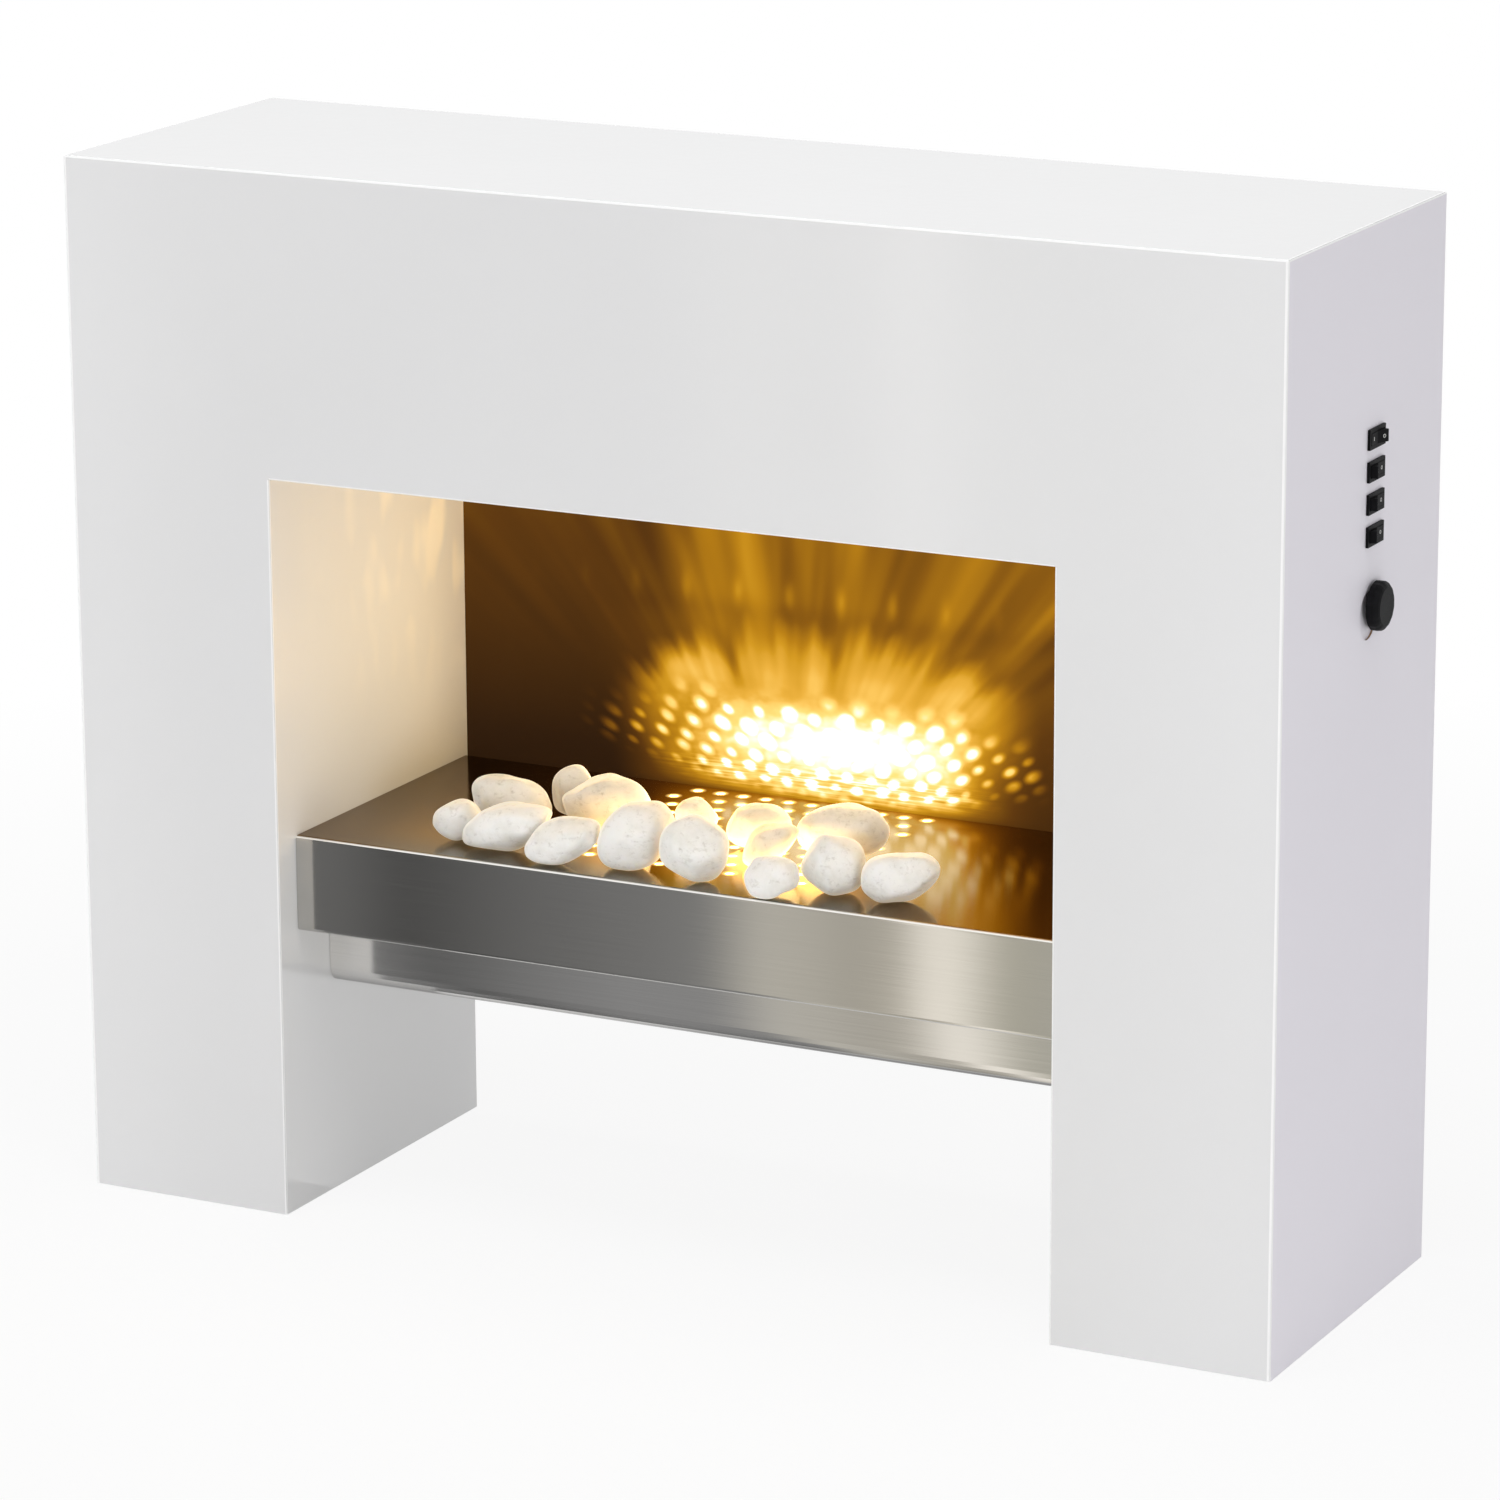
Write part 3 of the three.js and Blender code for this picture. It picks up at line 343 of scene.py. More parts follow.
def recessed_lacquer():
    """The right side's duller lacquer, with raw board in the wall of the slot behind the knob."""
    # Its white is painted lighter and faintly violet, as the light falling on this side.
    finish = lacquer("lacquer_right_side", SIDE_LIT_WHITE, 0.5, 0.0)
    x, y, z = finish.axes()
    away_y = y - RECESS_Y
    past_end = (z - sum(RECESS_Z) / 2).combine("ABSOLUTE") - (RECESS_Z[1] - RECESS_Z[0]) / 2
    away_z = past_end.combine("MAXIMUM", 0.0)
    inside = (away_y * away_y + away_z * away_z).less_than((RECESS_RADIUS + FACE_REACH) ** 2)
    floor_face = SIDE_FACE - RECESS_DEPTH
    wall = inside * x.less_than(SIDE_FACE - PAINTED_RIM) * x.more_than(floor_face + PAINTED_RIM)
    fibres = finish.noise(700.0, 3.0)
    board = finish.ramp(fibres, (0.3, RAW_BOARD), (0.75, (0.42, 0.27, 0.15)))
    painted = finish.surface.inputs["Base Color"].links[0].from_socket
    finish.set("Base Color", finish.mix(wall, painted, board))
    return finish


def cheek_lacquer():
    """The cheeks' lacquer, with the soft warm patches that the flame spinner throws near the back."""
    finish = lacquer("lacquer_cheek")
    x, y, z = finish.axes()
    patches = finish.noise(1.0, 1.0, finish.stretched((1.0, 38.0, 17.0))).step(0.46, 0.72)
    back = y.step(-0.13, 0.14)
    high = z.step(0.33, 0.60)
    beside_fire = near(x.combine("ABSOLUTE"), OPENING_HALF, 0.001) * z.step(0.28, 0.31)
    glow = (patches * high * 0.28 + y.step(-0.06, 0.10) * 0.13) * back * beside_fire
    finish.set("Emission Color", finish.scaled(LAMPLIGHT, glow))
    finish.set("Emission Strength", 1.0)
    return finish


def raw_board():
    """Raw fibreboard: fine felted fibres in warm brown."""
    finish = Finish("raw_fibreboard", RAW_BOARD, 0.85)
    fibres = finish.noise(420.0, 5.0, finish.stretched((1.0, 1.0, 0.35)), 0.7)
    finish.set("Base Color", finish.ramp(fibres, (0.3, (0.20, 0.115, 0.06)), (0.7, (0.36, 0.23, 0.13))))
    finish.bump(fibres, 0.0003)
    return finish


def brushed(finish, colour, roughness, lean=0.0):
    """Brushes stainless steel along X: mirrors stay sharp along the grain and smear across it.

    A lean turns a front face towards positive X by that slope.
    """
    finish.set("Tangent", finish.across_grain())
    grain = finish.noise(1.0, 3.0, finish.stretched((7.0, 1500.0, 1500.0)), 0.6)
    cloud = finish.noise(1.0, 2.0, finish.stretched((7.0, 3.0, 3.0)))
    finish.set("Base Color", finish.scaled(colour, grain * 0.20 + cloud * 0.16 + 0.82))
    finish.set("Roughness", grain * 0.10 - 0.05 + roughness)
    finish.bump(grain * GRAIN_DEPTH - finish.axes()[0] * lean, 1.0)
    return finish


def box_steel():
    """The lower box's steel: a front painted brighter as lit steel, with painted shade towards the
    right and round its bottom bend.
    """
    finish = Finish("box_steel", BOX_STEEL_LIT, BRUSHED, 1.0, Anisotropic=1.0)
    x, y, z = finish.axes()
    front = y.less_than(BOX_FRONT + BOX_BEND)
    # Painted shade over the painted brighter front: darker towards the right and round the bottom bend.
    right = x.step(-0.10, 0.10) * 0.33
    bend = z.step(BOX_BOTTOM + BOX_BEND * 0.8, BOX_BOTTOM) * 0.6
    bright = finish.scaled(BOX_STEEL_LIT, (right + bend) * -1.0 + 1.0)
    return brushed(finish, finish.mix(front, STEEL, bright), BRUSHED, BOX_LEAN)


def shelf_steel():
    """The shelf's steel: a plain front, and a smoother top painted with the fire's reflected light.

    This painted reflection is brown at the top's left end, amber at its right, dark grey along its
    front and gold at the back. A highlight is painted along the fold between top and front, and painted
    light spreads a little way round each hole.
    """
    finish = Finish("shelf_steel", STEEL, BRUSHED, 1.0, Anisotropic=1.0)
    x, y, z = finish.axes()
    on_top = z.more_than(SHELF_TOP - FOLD / 2)
    # The top's colours are a painted reflection of the fire's light.
    top = finish.mix(y.step(SHELF_FRONT, SHELF_FRONT + 0.06), SHELF_REFLECTED_GREY, SHELF_REFLECTED_GOLD)
    top = finish.mix(x.step(-0.17, -0.30), top, SHELF_REFLECTED_BROWN)
    top = finish.mix(x.step(0.13, 0.21), top, SHELF_REFLECTED_AMBER)
    brushed(finish, finish.mix(on_top, STEEL, top), on_top * -0.07 + BRUSHED)

    row = (y - FIRST_HOLE_ROW) / HOLE_PITCH[1]
    row_number = row.combine("ROUND")
    odd = row_number.combine("MODULO", 2.0)
    column = (x - HOLE_FIELD_X) / HOLE_PITCH[0] - odd * (2 * ROW_SHIFT) + ROW_SHIFT
    off_x = (column - column.combine("ROUND")) * HOLE_PITCH[0]
    off_y = (row - row_number) * HOLE_PITCH[1]
    away = (off_x * off_x + off_y * off_y).power(0.5)
    in_field = column.combine("ABSOLUTE").less_than(HOLES_IN_ROW / 2) * row.more_than(-0.5)
    halo = away.step(HOLE_RADIUS * 1.7, HOLE_RADIUS * 0.9) * in_field * row.less_than(HOLE_ROWS - 0.5)
    # A painted highlight along the fold, and painted light round the holes.
    fold = y.less_than(SHELF_FRONT + FOLD) * z.more_than(SHELF_TOP - FOLD)
    finish.set("Emission Color", finish.mix(fold, (1.0, 0.62, 0.16), (0.9, 0.89, 0.86)))
    finish.set("Emission Strength", fold * 0.45 + halo * on_top * 0.9)
    return finish


# The light on the fireback. Heights are over the shelf.
THROW = 0.200
DOT_PITCH = 0.0192
DOT_ROW = 0.0387
FIRST_DOT_ROW = 0.984
DOT_FIELD_X = 0.015
FAN_X = -0.03
FAN_DEPTH = 0.08
OVAL_X = 0.0107
OVAL_PITCH = 0.045
OVAL_SLIMNESS = 10.0
OVAL_HEIGHT = 0.161
OVAL_RADIUS = 0.011
FIREBACK_SHADE = (0.014, 0.008, 0.003)
WHITE_LIGHT = 1.4


def strands(finish, x, height, fan):
    """The glow over the fire: brighter with height, drawn into strands that fan out."""
    waver = finish.noise(1.0, 1.8, finish.vector(fan * 6.0, height * 3.0, 0.0), 0.5) - 0.5
    veil = x.step(-0.225, -0.070) * x.step(0.25, 0.09) * height.step(0.03, 0.15)
    light = (height * 0.95 + 0.165 + x.step(0.04, 0.15) * 0.10).toward(0.62, veil)
    light = light + waver * height.step(0.08, 0.17) * (x.step(-0.30, -0.06) * 0.85 + 0.15)
    return light - height.bell(0.146, 0.010) * veil * 0.05


def ovals(x, height):
    """A row of small soft ovals, OVAL_PITCH apart."""
    along = (x - OVAL_X) / OVAL_PITCH
    off_x = (along - along.combine("ROUND")) * OVAL_SLIMNESS
    off_z = (height - OVAL_HEIGHT) / OVAL_RADIUS
    oval = ((off_x * off_x + off_z * off_z) * -1.0).combine("EXPONENT")
    return oval * x.bell(-0.02, 0.14) * 0.17


def lobed_tier(finish, x, height, fan):
    """The light of a tier of soft lobes under an arched crown, and its share over what is behind."""
    lobes = finish.noise(1.0, 1.5, finish.vector(fan * 8.5, height * 8.0, 3.0)) - 0.5
    crown = (x - 0.010) * (x - 0.010) * 1.1 + height - lobes * 0.07
    tier = crown.step(0.147, 0.114) * x.step(-0.195, -0.130) * x.step(0.185, 0.120)
    light = lobes * 0.42 + height.step(0.125, 0.080) * 0.12 + 0.84
    return light, tier * height.step(0.015, 0.070)


def dots(finish, x, height):
    """Images of the holes, spread by t = 1 + height / THROW.

    Rows lie where 1 / t is FIRST_DOT_ROW less a whole number of DOT_ROW steps, and the dots of a row
    DOT_PITCH * t apart, with every other row shifted by half a pitch. Each parity of rows is worked
    out by itself, so that a dot may reach over the middle between two rows. The dots vary in size,
    brightness and place, and the top rows have gaps.
    """
    spread = height / THROW + 1.0
    row = (spread.power(-1.0) * -1.0 + FIRST_DOT_ROW) / DOT_ROW
    parities = []
    for parity in (0.0, 1.0):
        row_number = ((row - parity) / 2.0).combine("ROUND") * 2.0 + parity
        column = (x - DOT_FIELD_X) / spread / DOT_PITCH + parity * 0.5
        column_number = column.combine("ROUND")
        chance = finish.speckle(finish.vector(column_number, row_number, 0.0))
        wobble = finish.speckle(finish.vector(row_number, column_number, 5.0)) - 0.5
        off_column = column - column_number + wobble * 0.16
        off_row = (row - row_number) * 0.55 + wobble * 0.10
        away = (off_column * off_column + off_row * off_row).power(0.5)
        spot = (away / (chance * 0.10 + 0.155)).step(1.65, 0.30)
        seldom = row_number.step(6.4, 6.6) * chance.step(0.62, 0.50)
        parities.append(spot * (chance * 0.3 + 0.75) * (seldom * -1.0 + 1.0))
    return parities[0].combine("MAXIMUM", parities[1])


def haze(finish, x, height):
    """The patchy, streaked glare behind the dots, brightest in the middle."""
    core = x.bell(0.015, 0.090) * height.bell(0.046, 0.022)
    middle = x.step(-0.130, -0.070) * x.step(0.150, 0.100)
    patchy = finish.noise(1.0, 2.0, finish.stretched((55.0, 1.0, 90.0))) - 0.5
    streaks = finish.noise(1.0, 2.0, finish.stretched((22.0, 1.0, 480.0))) - 0.5
    streaks = streaks * height.step(0.030, 0.016) * 0.8
    return middle * 0.22 + core * 0.30 + patchy * 0.38 + streaks + 0.84


def fireback_steel():
    """Brushed steel lit from below through the perforated shelf.

    From the top down the light is strands, ovals, a tier of lobes, and dots on a haze, with a soft
    skirt round it. It is worked out as it looks, from 0 for black past 1 for full amber to
    WHITE_LIGHT, and a ramp gives it its colour. Only the front face is lit.
    """
    finish = Finish("fireback_steel", FIREBACK_SHADE, 0.42, 1.0)
    x, y, z = finish.axes()
    height = z - SHELF_TOP
    fan = (x - FAN_X) / (height + FAN_DEPTH)

    light = strands(finish, x, height, fan) + ovals(x, height)
    tier_light, tier = lobed_tier(finish, x, height, fan)
    light = light.toward(tier_light, tier)
    skirt = x.step(-0.200, -0.100) * x.step(0.190, 0.100)
    skirt = skirt * height.step(-0.015, 0.008) * height.step(0.10, 0.04)
    light = light.toward(0.60, skirt)
    floor_line = height - (x - 0.010) * (x - 0.010) * 0.6
    glare = x.step(-0.172, -0.110) * x.step(0.160, 0.100) * floor_line.step(-0.012, 0.009)
    glare = glare * height.step(0.094, 0.062)
    light = light.toward(haze(finish, x, height), glare)
    fringe = x.step(-0.228, -0.150) * x.step(0.195, 0.165) * height.bell(0.043, 0.018)
    within = floor_line.step(-0.004, 0.010) * height.step(0.096, 0.086)
    strength = glare * 0.38 + (glare * -1.0 + 1.0) * fringe * 0.68
    light = light + dots(finish, x, height) * within * strength

    colour = finish.ramp(
        light / WHITE_LIGHT,
        (0.0, (0.0, 0.0, 0.0)), (0.135, (0.026, 0.011, 0.004)), (0.26, (0.105, 0.038, 0.005)),
        (0.393, (0.26, 0.103, 0.006)), (0.527, (0.50, 0.222, 0.008)), (0.60, (0.66, 0.322, 0.016)),
        (0.667, (0.85, 0.450, 0.052)), (0.714, (1.0, 0.60, 0.12)), (0.80, (1.0, 0.80, 0.23)),
        (0.93, (1.0, 1.0, 0.88)),
    )
    finish.set("Emission Color", finish.scaled(colour, light.step(1.1, WHITE_LIGHT) * 0.6 + 1.0))
    front = y.less_than(FIREBACK_FACE + FACE_REACH)
    finish.set("Emission Strength", front)
    grain = finish.noise(1.0, 3.0, finish.stretched((12.0, 700.0, 700.0)), 0.6)
    finish.set("Roughness", grain * 0.15 + 0.34)
    # The front's steel is painted near black, as shade under the painted light.
    finish.set("Base Color", finish.mix(front, STEEL, FIREBACK_SHADE))
    return finish


def galvanised():
    """Zinc-coated sheet with its spangle."""
    finish = Finish("galvanised_steel", (0.45, 0.47, 0.5), 0.5, 0.9)
    cells = finish.nodes.new("ShaderNodeTexVoronoi")
    cells.inputs["Scale"].default_value = 120.0
    finish.links.new(finish.place, cells.inputs["Vector"])
    spangle = Signal(finish, cells.outputs["Distance"])
    finish.set("Base Color", finish.ramp(spangle, (0.0, (0.36, 0.38, 0.41)), (0.8, (0.58, 0.6, 0.63))))
    finish.set("Roughness", spangle * 0.25 + 0.38)
    return finish


def rolled_aluminium():
    """Bright rolled aluminium with faint lengthwise marks."""
    finish = Finish("rolled_aluminium", (0.8, 0.81, 0.83), 0.25, 1.0)
    marks = finish.noise(1.0, 3.0, finish.stretched((20.0, 500.0, 500.0)), 0.6)
    finish.set("Base Color", finish.ramp(marks, (0.3, (0.66, 0.67, 0.69)), (0.7, (0.84, 0.85, 0.87))))
    finish.set("Roughness", marks * 0.15 + 0.2)
    return finish


def moulded(name, dark, light, roughness, **uniform):
    """Moulded plastic with a fine spark-eroded grain."""
    finish = Finish(name, dark, roughness, **uniform)
    grain = finish.noise(2600.0, 2.0)
    finish.set("Base Color", finish.ramp(finish.noise(60.0, 3.0), (0.35, dark), (0.65, light)))
    finish.set("Roughness", grain * 0.14 + (roughness - 0.07))
    finish.bump(grain, 0.00006)
    return finish


def glazed_porcelain():
    """Cream glaze, faintly mottled."""
    finish = Finish("glazed_porcelain", (0.82, 0.8, 0.75), 0.2, Coat_Weight=0.4)
    mottle = finish.noise(200.0, 3.0)
    finish.set("Base Color", finish.ramp(mottle, (0.3, (0.74, 0.71, 0.65)), (0.7, (0.85, 0.83, 0.78))))
    return finish


def lit_glass():
    """Lamp glass, lit: brightest round the filament's height."""
    finish = Finish("lit_lamp_glass", (1.0, 0.86, 0.6), 0.1, Transmission_Weight=0.3)
    _, _, z = finish.axes()
    low, high = span("left_lamp")
    filament = float(low[2] * 0.45 + high[2] * 0.55)
    glow = z.bell(filament, 0.03) * 6.0 + 1.0
    finish.set("Emission Color", finish.scaled((1.0, 0.72, 0.34), glow))
    finish.set("Emission Strength", 1.0)
    return finish


def mica():
    """Flaky grey-brown mica card, with its ribbon wire."""
    finish = Finish("mica_and_ribbon", (0.42, 0.36, 0.24), 0.5)
    flakes = finish.noise(260.0, 4.0, rough=0.7)
    finish.set("Base Color", finish.ramp(flakes, (0.3, (0.30, 0.24, 0.15)), (0.7, (0.52, 0.45, 0.31))))
    return finish


def quartz():
    """Tumbled white quartz: milky, pitted and mottled grey, with painted firelight at its rim and low
    down.
    """
    finish = Finish("white_quartz", (0.84, 0.82, 0.78), 0.6, Subsurface_Weight=0.25,
                    Subsurface_Scale=0.010, Subsurface_Radius=(1.0, 0.75, 0.45))
    cloud = finish.noise(42.0, 5.0, rough=0.6)
    pits = finish.noise(170.0, 4.0, rough=0.7)
    seams = finish.noise(1.0, 4.0, finish.stretched((90.0, 60.0, 190.0)), 0.65)
    stain = pits.step(0.46, 0.30) * 0.32 + seams.step(0.42, 0.30) * 0.28
    milky = finish.ramp(cloud, (0.32, (0.76, 0.75, 0.71)), (0.58, (0.88, 0.87, 0.85)))
    finish.set("Base Color", finish.mix(stain, milky, (0.42, 0.39, 0.35)))
    finish.set("Roughness", pits * 0.3 + 0.42)
    x, y, z = finish.axes()
    low = (z - SHELF_TOP).step(0.030, 0.004)
    firelight = x.bell(-0.005, 0.115) * y.step(-0.135, -0.03)
    weight = finish.nodes.new("ShaderNodeLayerWeight")
    weight.inputs["Blend"].default_value = 0.5
    rim = Signal(finish, weight.outputs["Facing"]).step(0.45, 1.0)
    # A painted glow: firelight at the rim, and low down near the fire.
    shine = rim * (firelight * 0.7 + 0.22) + low * firelight * 0.3 + 0.04
    finish.set("Emission Color", finish.ramp(firelight, (0.0, (1.0, 0.88, 0.66)), (0.8, (1.0, 0.62, 0.12))))
    finish.set("Emission Strength", shine)
    grit = pits * 0.45 + seams * 0.2 + cloud * 0.35
    finish.bump(grit, 0.0022, 0.7)
    return finish


def lit_hole():
    """Lamplight seen through a hole."""
    finish = Finish("lamplight_in_hole", (0.9, 0.6, 0.25), 0.5)
    flicker = finish.noise(45.0, 1.0) * 5.0 + 3.5
    finish.set("Emission Color", finish.scaled(LAMPLIGHT, flicker))
    finish.set("Emission Strength", 1.0)
    return finish


def screw_metal():
    """Zinc-plated steel, unevenly dulled."""
    finish = Finish("zinc_screw", (0.62, 0.62, 0.6), 0.35, 1.0)
    wear = finish.noise(900.0, 2.0)
    finish.set("Base Color", finish.ramp(wear, (0.3, (0.5, 0.5, 0.48)), (0.7, (0.7, 0.7, 0.68))))
    return finish


def mark_ink():
    """Pale ink, unevenly worn."""
    finish = Finish("pale_mark", (0.7, 0.7, 0.68), 0.5)
    wear = finish.noise(1500.0, 2.0)
    finish.set("Base Color", finish.ramp(wear, (0.3, (0.5, 0.5, 0.49)), (0.7, (0.75, 0.75, 0.73))))
    return finish


WHITE_LACQUER = lacquer("white_lacquer")
BOARD = raw_board()
BLACK = moulded("black_plastic", (0.004, 0.004, 0.0045), (0.007, 0.007, 0.008), 0.5,
                Specular_IOR_Level=0.07)
BEIGE = moulded("beige_plastic", (0.62, 0.56, 0.43), (0.70, 0.64, 0.5), 0.5)
ZINC = galvanised()
ALUMINIUM = rolled_aluminium()
PORCELAIN = glazed_porcelain()
CHEEK = cheek_lacquer()
LAMP = lit_glass()
QUARTZ = quartz()
SCREW = screw_metal()
INK = mark_ink()

FINISHES = {
    "front_panel": WHITE_LACQUER, "top_panel": WHITE_LACQUER, "left_side_panel": WHITE_LACQUER,
    "right_side_panel": recessed_lacquer(), "soffit_panel": WHITE_LACQUER,
    "left_cheek": CHEEK, "right_cheek": CHEEK,
    "left_foot_panel": BOARD, "right_foot_panel": BOARD,
    "left_back_cover": BOARD, "right_back_cover": BOARD, "header_back_cover": BOARD,
    "fireback": fireback_steel(),
    "shelf_tray": shelf_steel(), "lower_box": box_steel(),
    "lamp_rail": ZINC, "spinner_motor": ZINC, "heater_housing": ZINC, "fan_motor": ZINC,
    "thermostat_plate": ZINC, "flame_spinner": ALUMINIUM, "fan_impeller": ALUMINIUM,
    "outlet_grille": ALUMINIUM, "left_lamp_holder": PORCELAIN, "right_lamp_holder": PORCELAIN,
    "left_lamp": LAMP, "right_lamp": LAMP, "heating_element": mica(),
    "spinner_bush": BEIGE, "fan_bearing": BEIGE, "thermostat_body": BEIGE, "terminal_block": BEIGE,
    "thermostat_knob": BLACK, "cable_gland": BLACK,
}
SWITCHES = range(1, 5)
for number in SWITCHES:
    FINISHES[f"switch_{number}_body"] = BLACK
    FINISHES[f"switch_{number}_rocker"] = BLACK


def finish_nodes():
    """Gives each node that stays its own finish."""
    for name, finish in FINISHES.items():
        node = frame["nodes"][name]
        node.data.materials.clear()
        node.data.materials.append(finish.material)


# ---------- Surfaces ----------


def surface(name, points, finish, body="cabinet", smooth=True):
    """A closed piece from a grid of points (rows, columns, 3).

    The columns wrap round. The first and last rows are poles, and their points coincide.
    """
    rows, columns = points.shape[:2]
    north, south = points[0, 0], points[-1, 0]
    inner = points[1:-1].reshape(-1, 3)
    vertices = np.vstack([inner, north, south])
    grid = np.arange((rows - 2) * columns).reshape(rows - 2, columns)
    right = np.roll(grid, -1, axis=1)
    quads = np.stack([grid[:-1], right[:-1], right[1:], grid[1:]], axis=-1).reshape(-1, 4)
    top, bottom = len(inner), len(inner) + 1
    caps = [np.stack([np.full(columns, top), right[0], grid[0]], axis=-1)]
    caps.append(np.stack([np.full(columns, bottom), grid[-1], right[-1]], axis=-1))
    faces = quads.tolist() + np.vstack(caps).tolist()
    return piece(name, vertices, faces, finish, body, smooth)


def piece(name, vertices, faces, finish, body="cabinet", smooth=True):
    """A mesh object at the origin, riding on a body, with its faces turned outward."""
    mesh = bpy.data.meshes.new(name)
    mesh.from_pydata(vertices.tolist(), [], faces)
    mesh.polygons.foreach_set("use_smooth", np.full(len(mesh.polygons), smooth))
    mesh.materials.append(finish.material)
    corners = vertices[np.array([face[:3] for face in faces])]
    volume = np.einsum("ij,ij->i", corners[:, 0], np.cross(corners[:, 1], corners[:, 2])).sum()
    if volume < 0:
        mesh.flip_normals()
    mesh.update()
    made = bpy.data.objects.new(name, mesh)
    bpy.context.scene.collection.objects.link(made)
    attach(made, body)
    return made


# ---------- Stones ----------

STONE_ROWS = 48
STONE_COLUMNS = 72
STONE_SEED = 400
STONE_PLANES = 10
STONE_DENTS = 5
DENT_DEPTH = 0.012
STONE_SHARPNESS = 14.0
STONE_FULLNESS = 2.5
STONE_LEANS = (0.1, -0.1, 0.4, 0.2, -0.1, 0.4, 0.25, 0.0, 0.0, 0.0, 0.4, 0.0, 0.2, -0.05, 0.1)


def stone(number):
    """One tumbled stone, filling the box of its plain node.

    A full-bellied ball |x| ^ f + |y| ^ f + |z| ^ f = 1 is ground flat by a few random planes of
    normal n at distance h: along a direction d its radius is 1 / (b ^ p + sum over planes of
    max(0, n . d / h) ^ p) ^ (1 / p), where 1 / b is the ball's radius and the power p rounds the
    edges. Shallow waves dent it, and its top is pushed sideways by its lean.
    """
    node = f"pebble_{number:02d}"
    dice = np.random.default_rng(STONE_SEED + number)
    normals = dice.normal(size=(STONE_PLANES, 3))
    normals /= np.linalg.norm(normals, axis=1, keepdims=True)
    heights = dice.uniform(0.80, 1.02, STONE_PLANES)
    polar = np.linspace(0, np.pi, STONE_ROWS)[:, None]
    turn = np.linspace(0, 2 * np.pi, STONE_COLUMNS, endpoint=False)[None, :]
    way = np.stack([
        np.sin(polar) * np.cos(turn), np.sin(polar) * np.sin(turn), np.cos(polar) + 0 * turn,
    ], axis=-1)
    ball = (np.abs(way) ** STONE_FULLNESS).sum(axis=-1) ** (1 / STONE_FULLNESS)
    reach = np.maximum(way @ normals.T / heights, 0) ** STONE_SHARPNESS
    radius = (ball ** STONE_SHARPNESS + reach.sum(axis=-1)) ** (-1 / STONE_SHARPNESS)
    dents = sum(
        np.sin(way @ dice.normal(scale=4.0, size=3) + dice.uniform(0, 6))
        for _ in range(STONE_DENTS)
    )
    points = way * (radius * (1 + DENT_DEPTH * dents))[..., None]
    points[..., 0] += STONE_LEANS[number - 1] * points[..., 2]
    low, high = points.min(axis=(0, 1)), points.max(axis=(0, 1))
    box_low, box_high = span(node)
    points = box_low + (points - low) / (high - low) * (box_high - box_low)
    made = surface(f"quartz_stone_{number:02d}", points, QUARTZ)
    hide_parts(node)


# ---------- Lamplight in the holes ----------

HOLE_SIDES = 20
LIGHT_DEPTHS = (0.0004, 0.0012)


def hole_centres():
    """X and Y of the shelf's holes. Rows are shifted by ROW_SHIFT of a pitch to either side in turn."""
    row, column = np.mgrid[:HOLE_ROWS, :HOLES_IN_ROW]
    shift = np.where(row % 2 == 1, ROW_SHIFT, -ROW_SHIFT)
    x = HOLE_FIELD_X + (column - (HOLES_IN_ROW - 1) / 2 + shift) * HOLE_PITCH[0]
    y = FIRST_HOLE_ROW + row * HOLE_PITCH[1]
    return np.stack([x, y], axis=-1).reshape(-1, 2)


def lit_holes():
    """A thin disc of light in each hole, between two circles just under the shelf's face."""
    turn = np.linspace(0, 2 * np.pi, HOLE_SIDES, endpoint=False)
    circle = HOLE_RADIUS * np.stack([np.cos(turn), np.sin(turn)], axis=-1)
    centres = hole_centres()
    points = np.empty((len(centres), 2, HOLE_SIDES, 3))
    points[..., :2] = centres[:, None, None, :] + circle
    points[..., 2] = SHELF_TOP - np.array(LIGHT_DEPTHS)[:, None]
    top, bottom = np.arange(points.size // 3).reshape(-1, 2, HOLE_SIDES).swapaxes(0, 1)
    next_top = np.roll(top, -1, axis=1)
    next_bottom = np.roll(bottom, -1, axis=1)
    walls = np.stack([bottom, next_bottom, next_top, top], axis=-1).reshape(-1, 4)
    faces = top.tolist() + bottom[:, ::-1].tolist() + walls.tolist()
    piece("lit_holes", points.reshape(-1, 3), faces, lit_hole(), smooth=False)


# ---------- Small fittings ----------

SCREW_RADIUS = 0.0042
SCREW_HEIGHT = 0.0022
SCREW_COLUMNS = 32
SCREW_ROWS = 12
SCREW_INSET = 0.014
CROSS_WIDTH = 0.16
CROSS_DEPTH = 0.6
CROSS_REACH = 0.62


def screw_places():
    """X and Z of the screws round the edge of each back cover."""
    places = []
    for node, across, upward in (
        ("left_back_cover", 2, 4), ("right_back_cover", 2, 4), ("header_back_cover", 5, 2),
    ):
        low, high = span(node)
        places += [
            (x, z)
            for x in np.linspace(low[0] + SCREW_INSET, high[0] - SCREW_INSET, across)
            for z in np.linspace(low[2] + SCREW_INSET, high[2] - SCREW_INSET, upward)
        ]
    return places


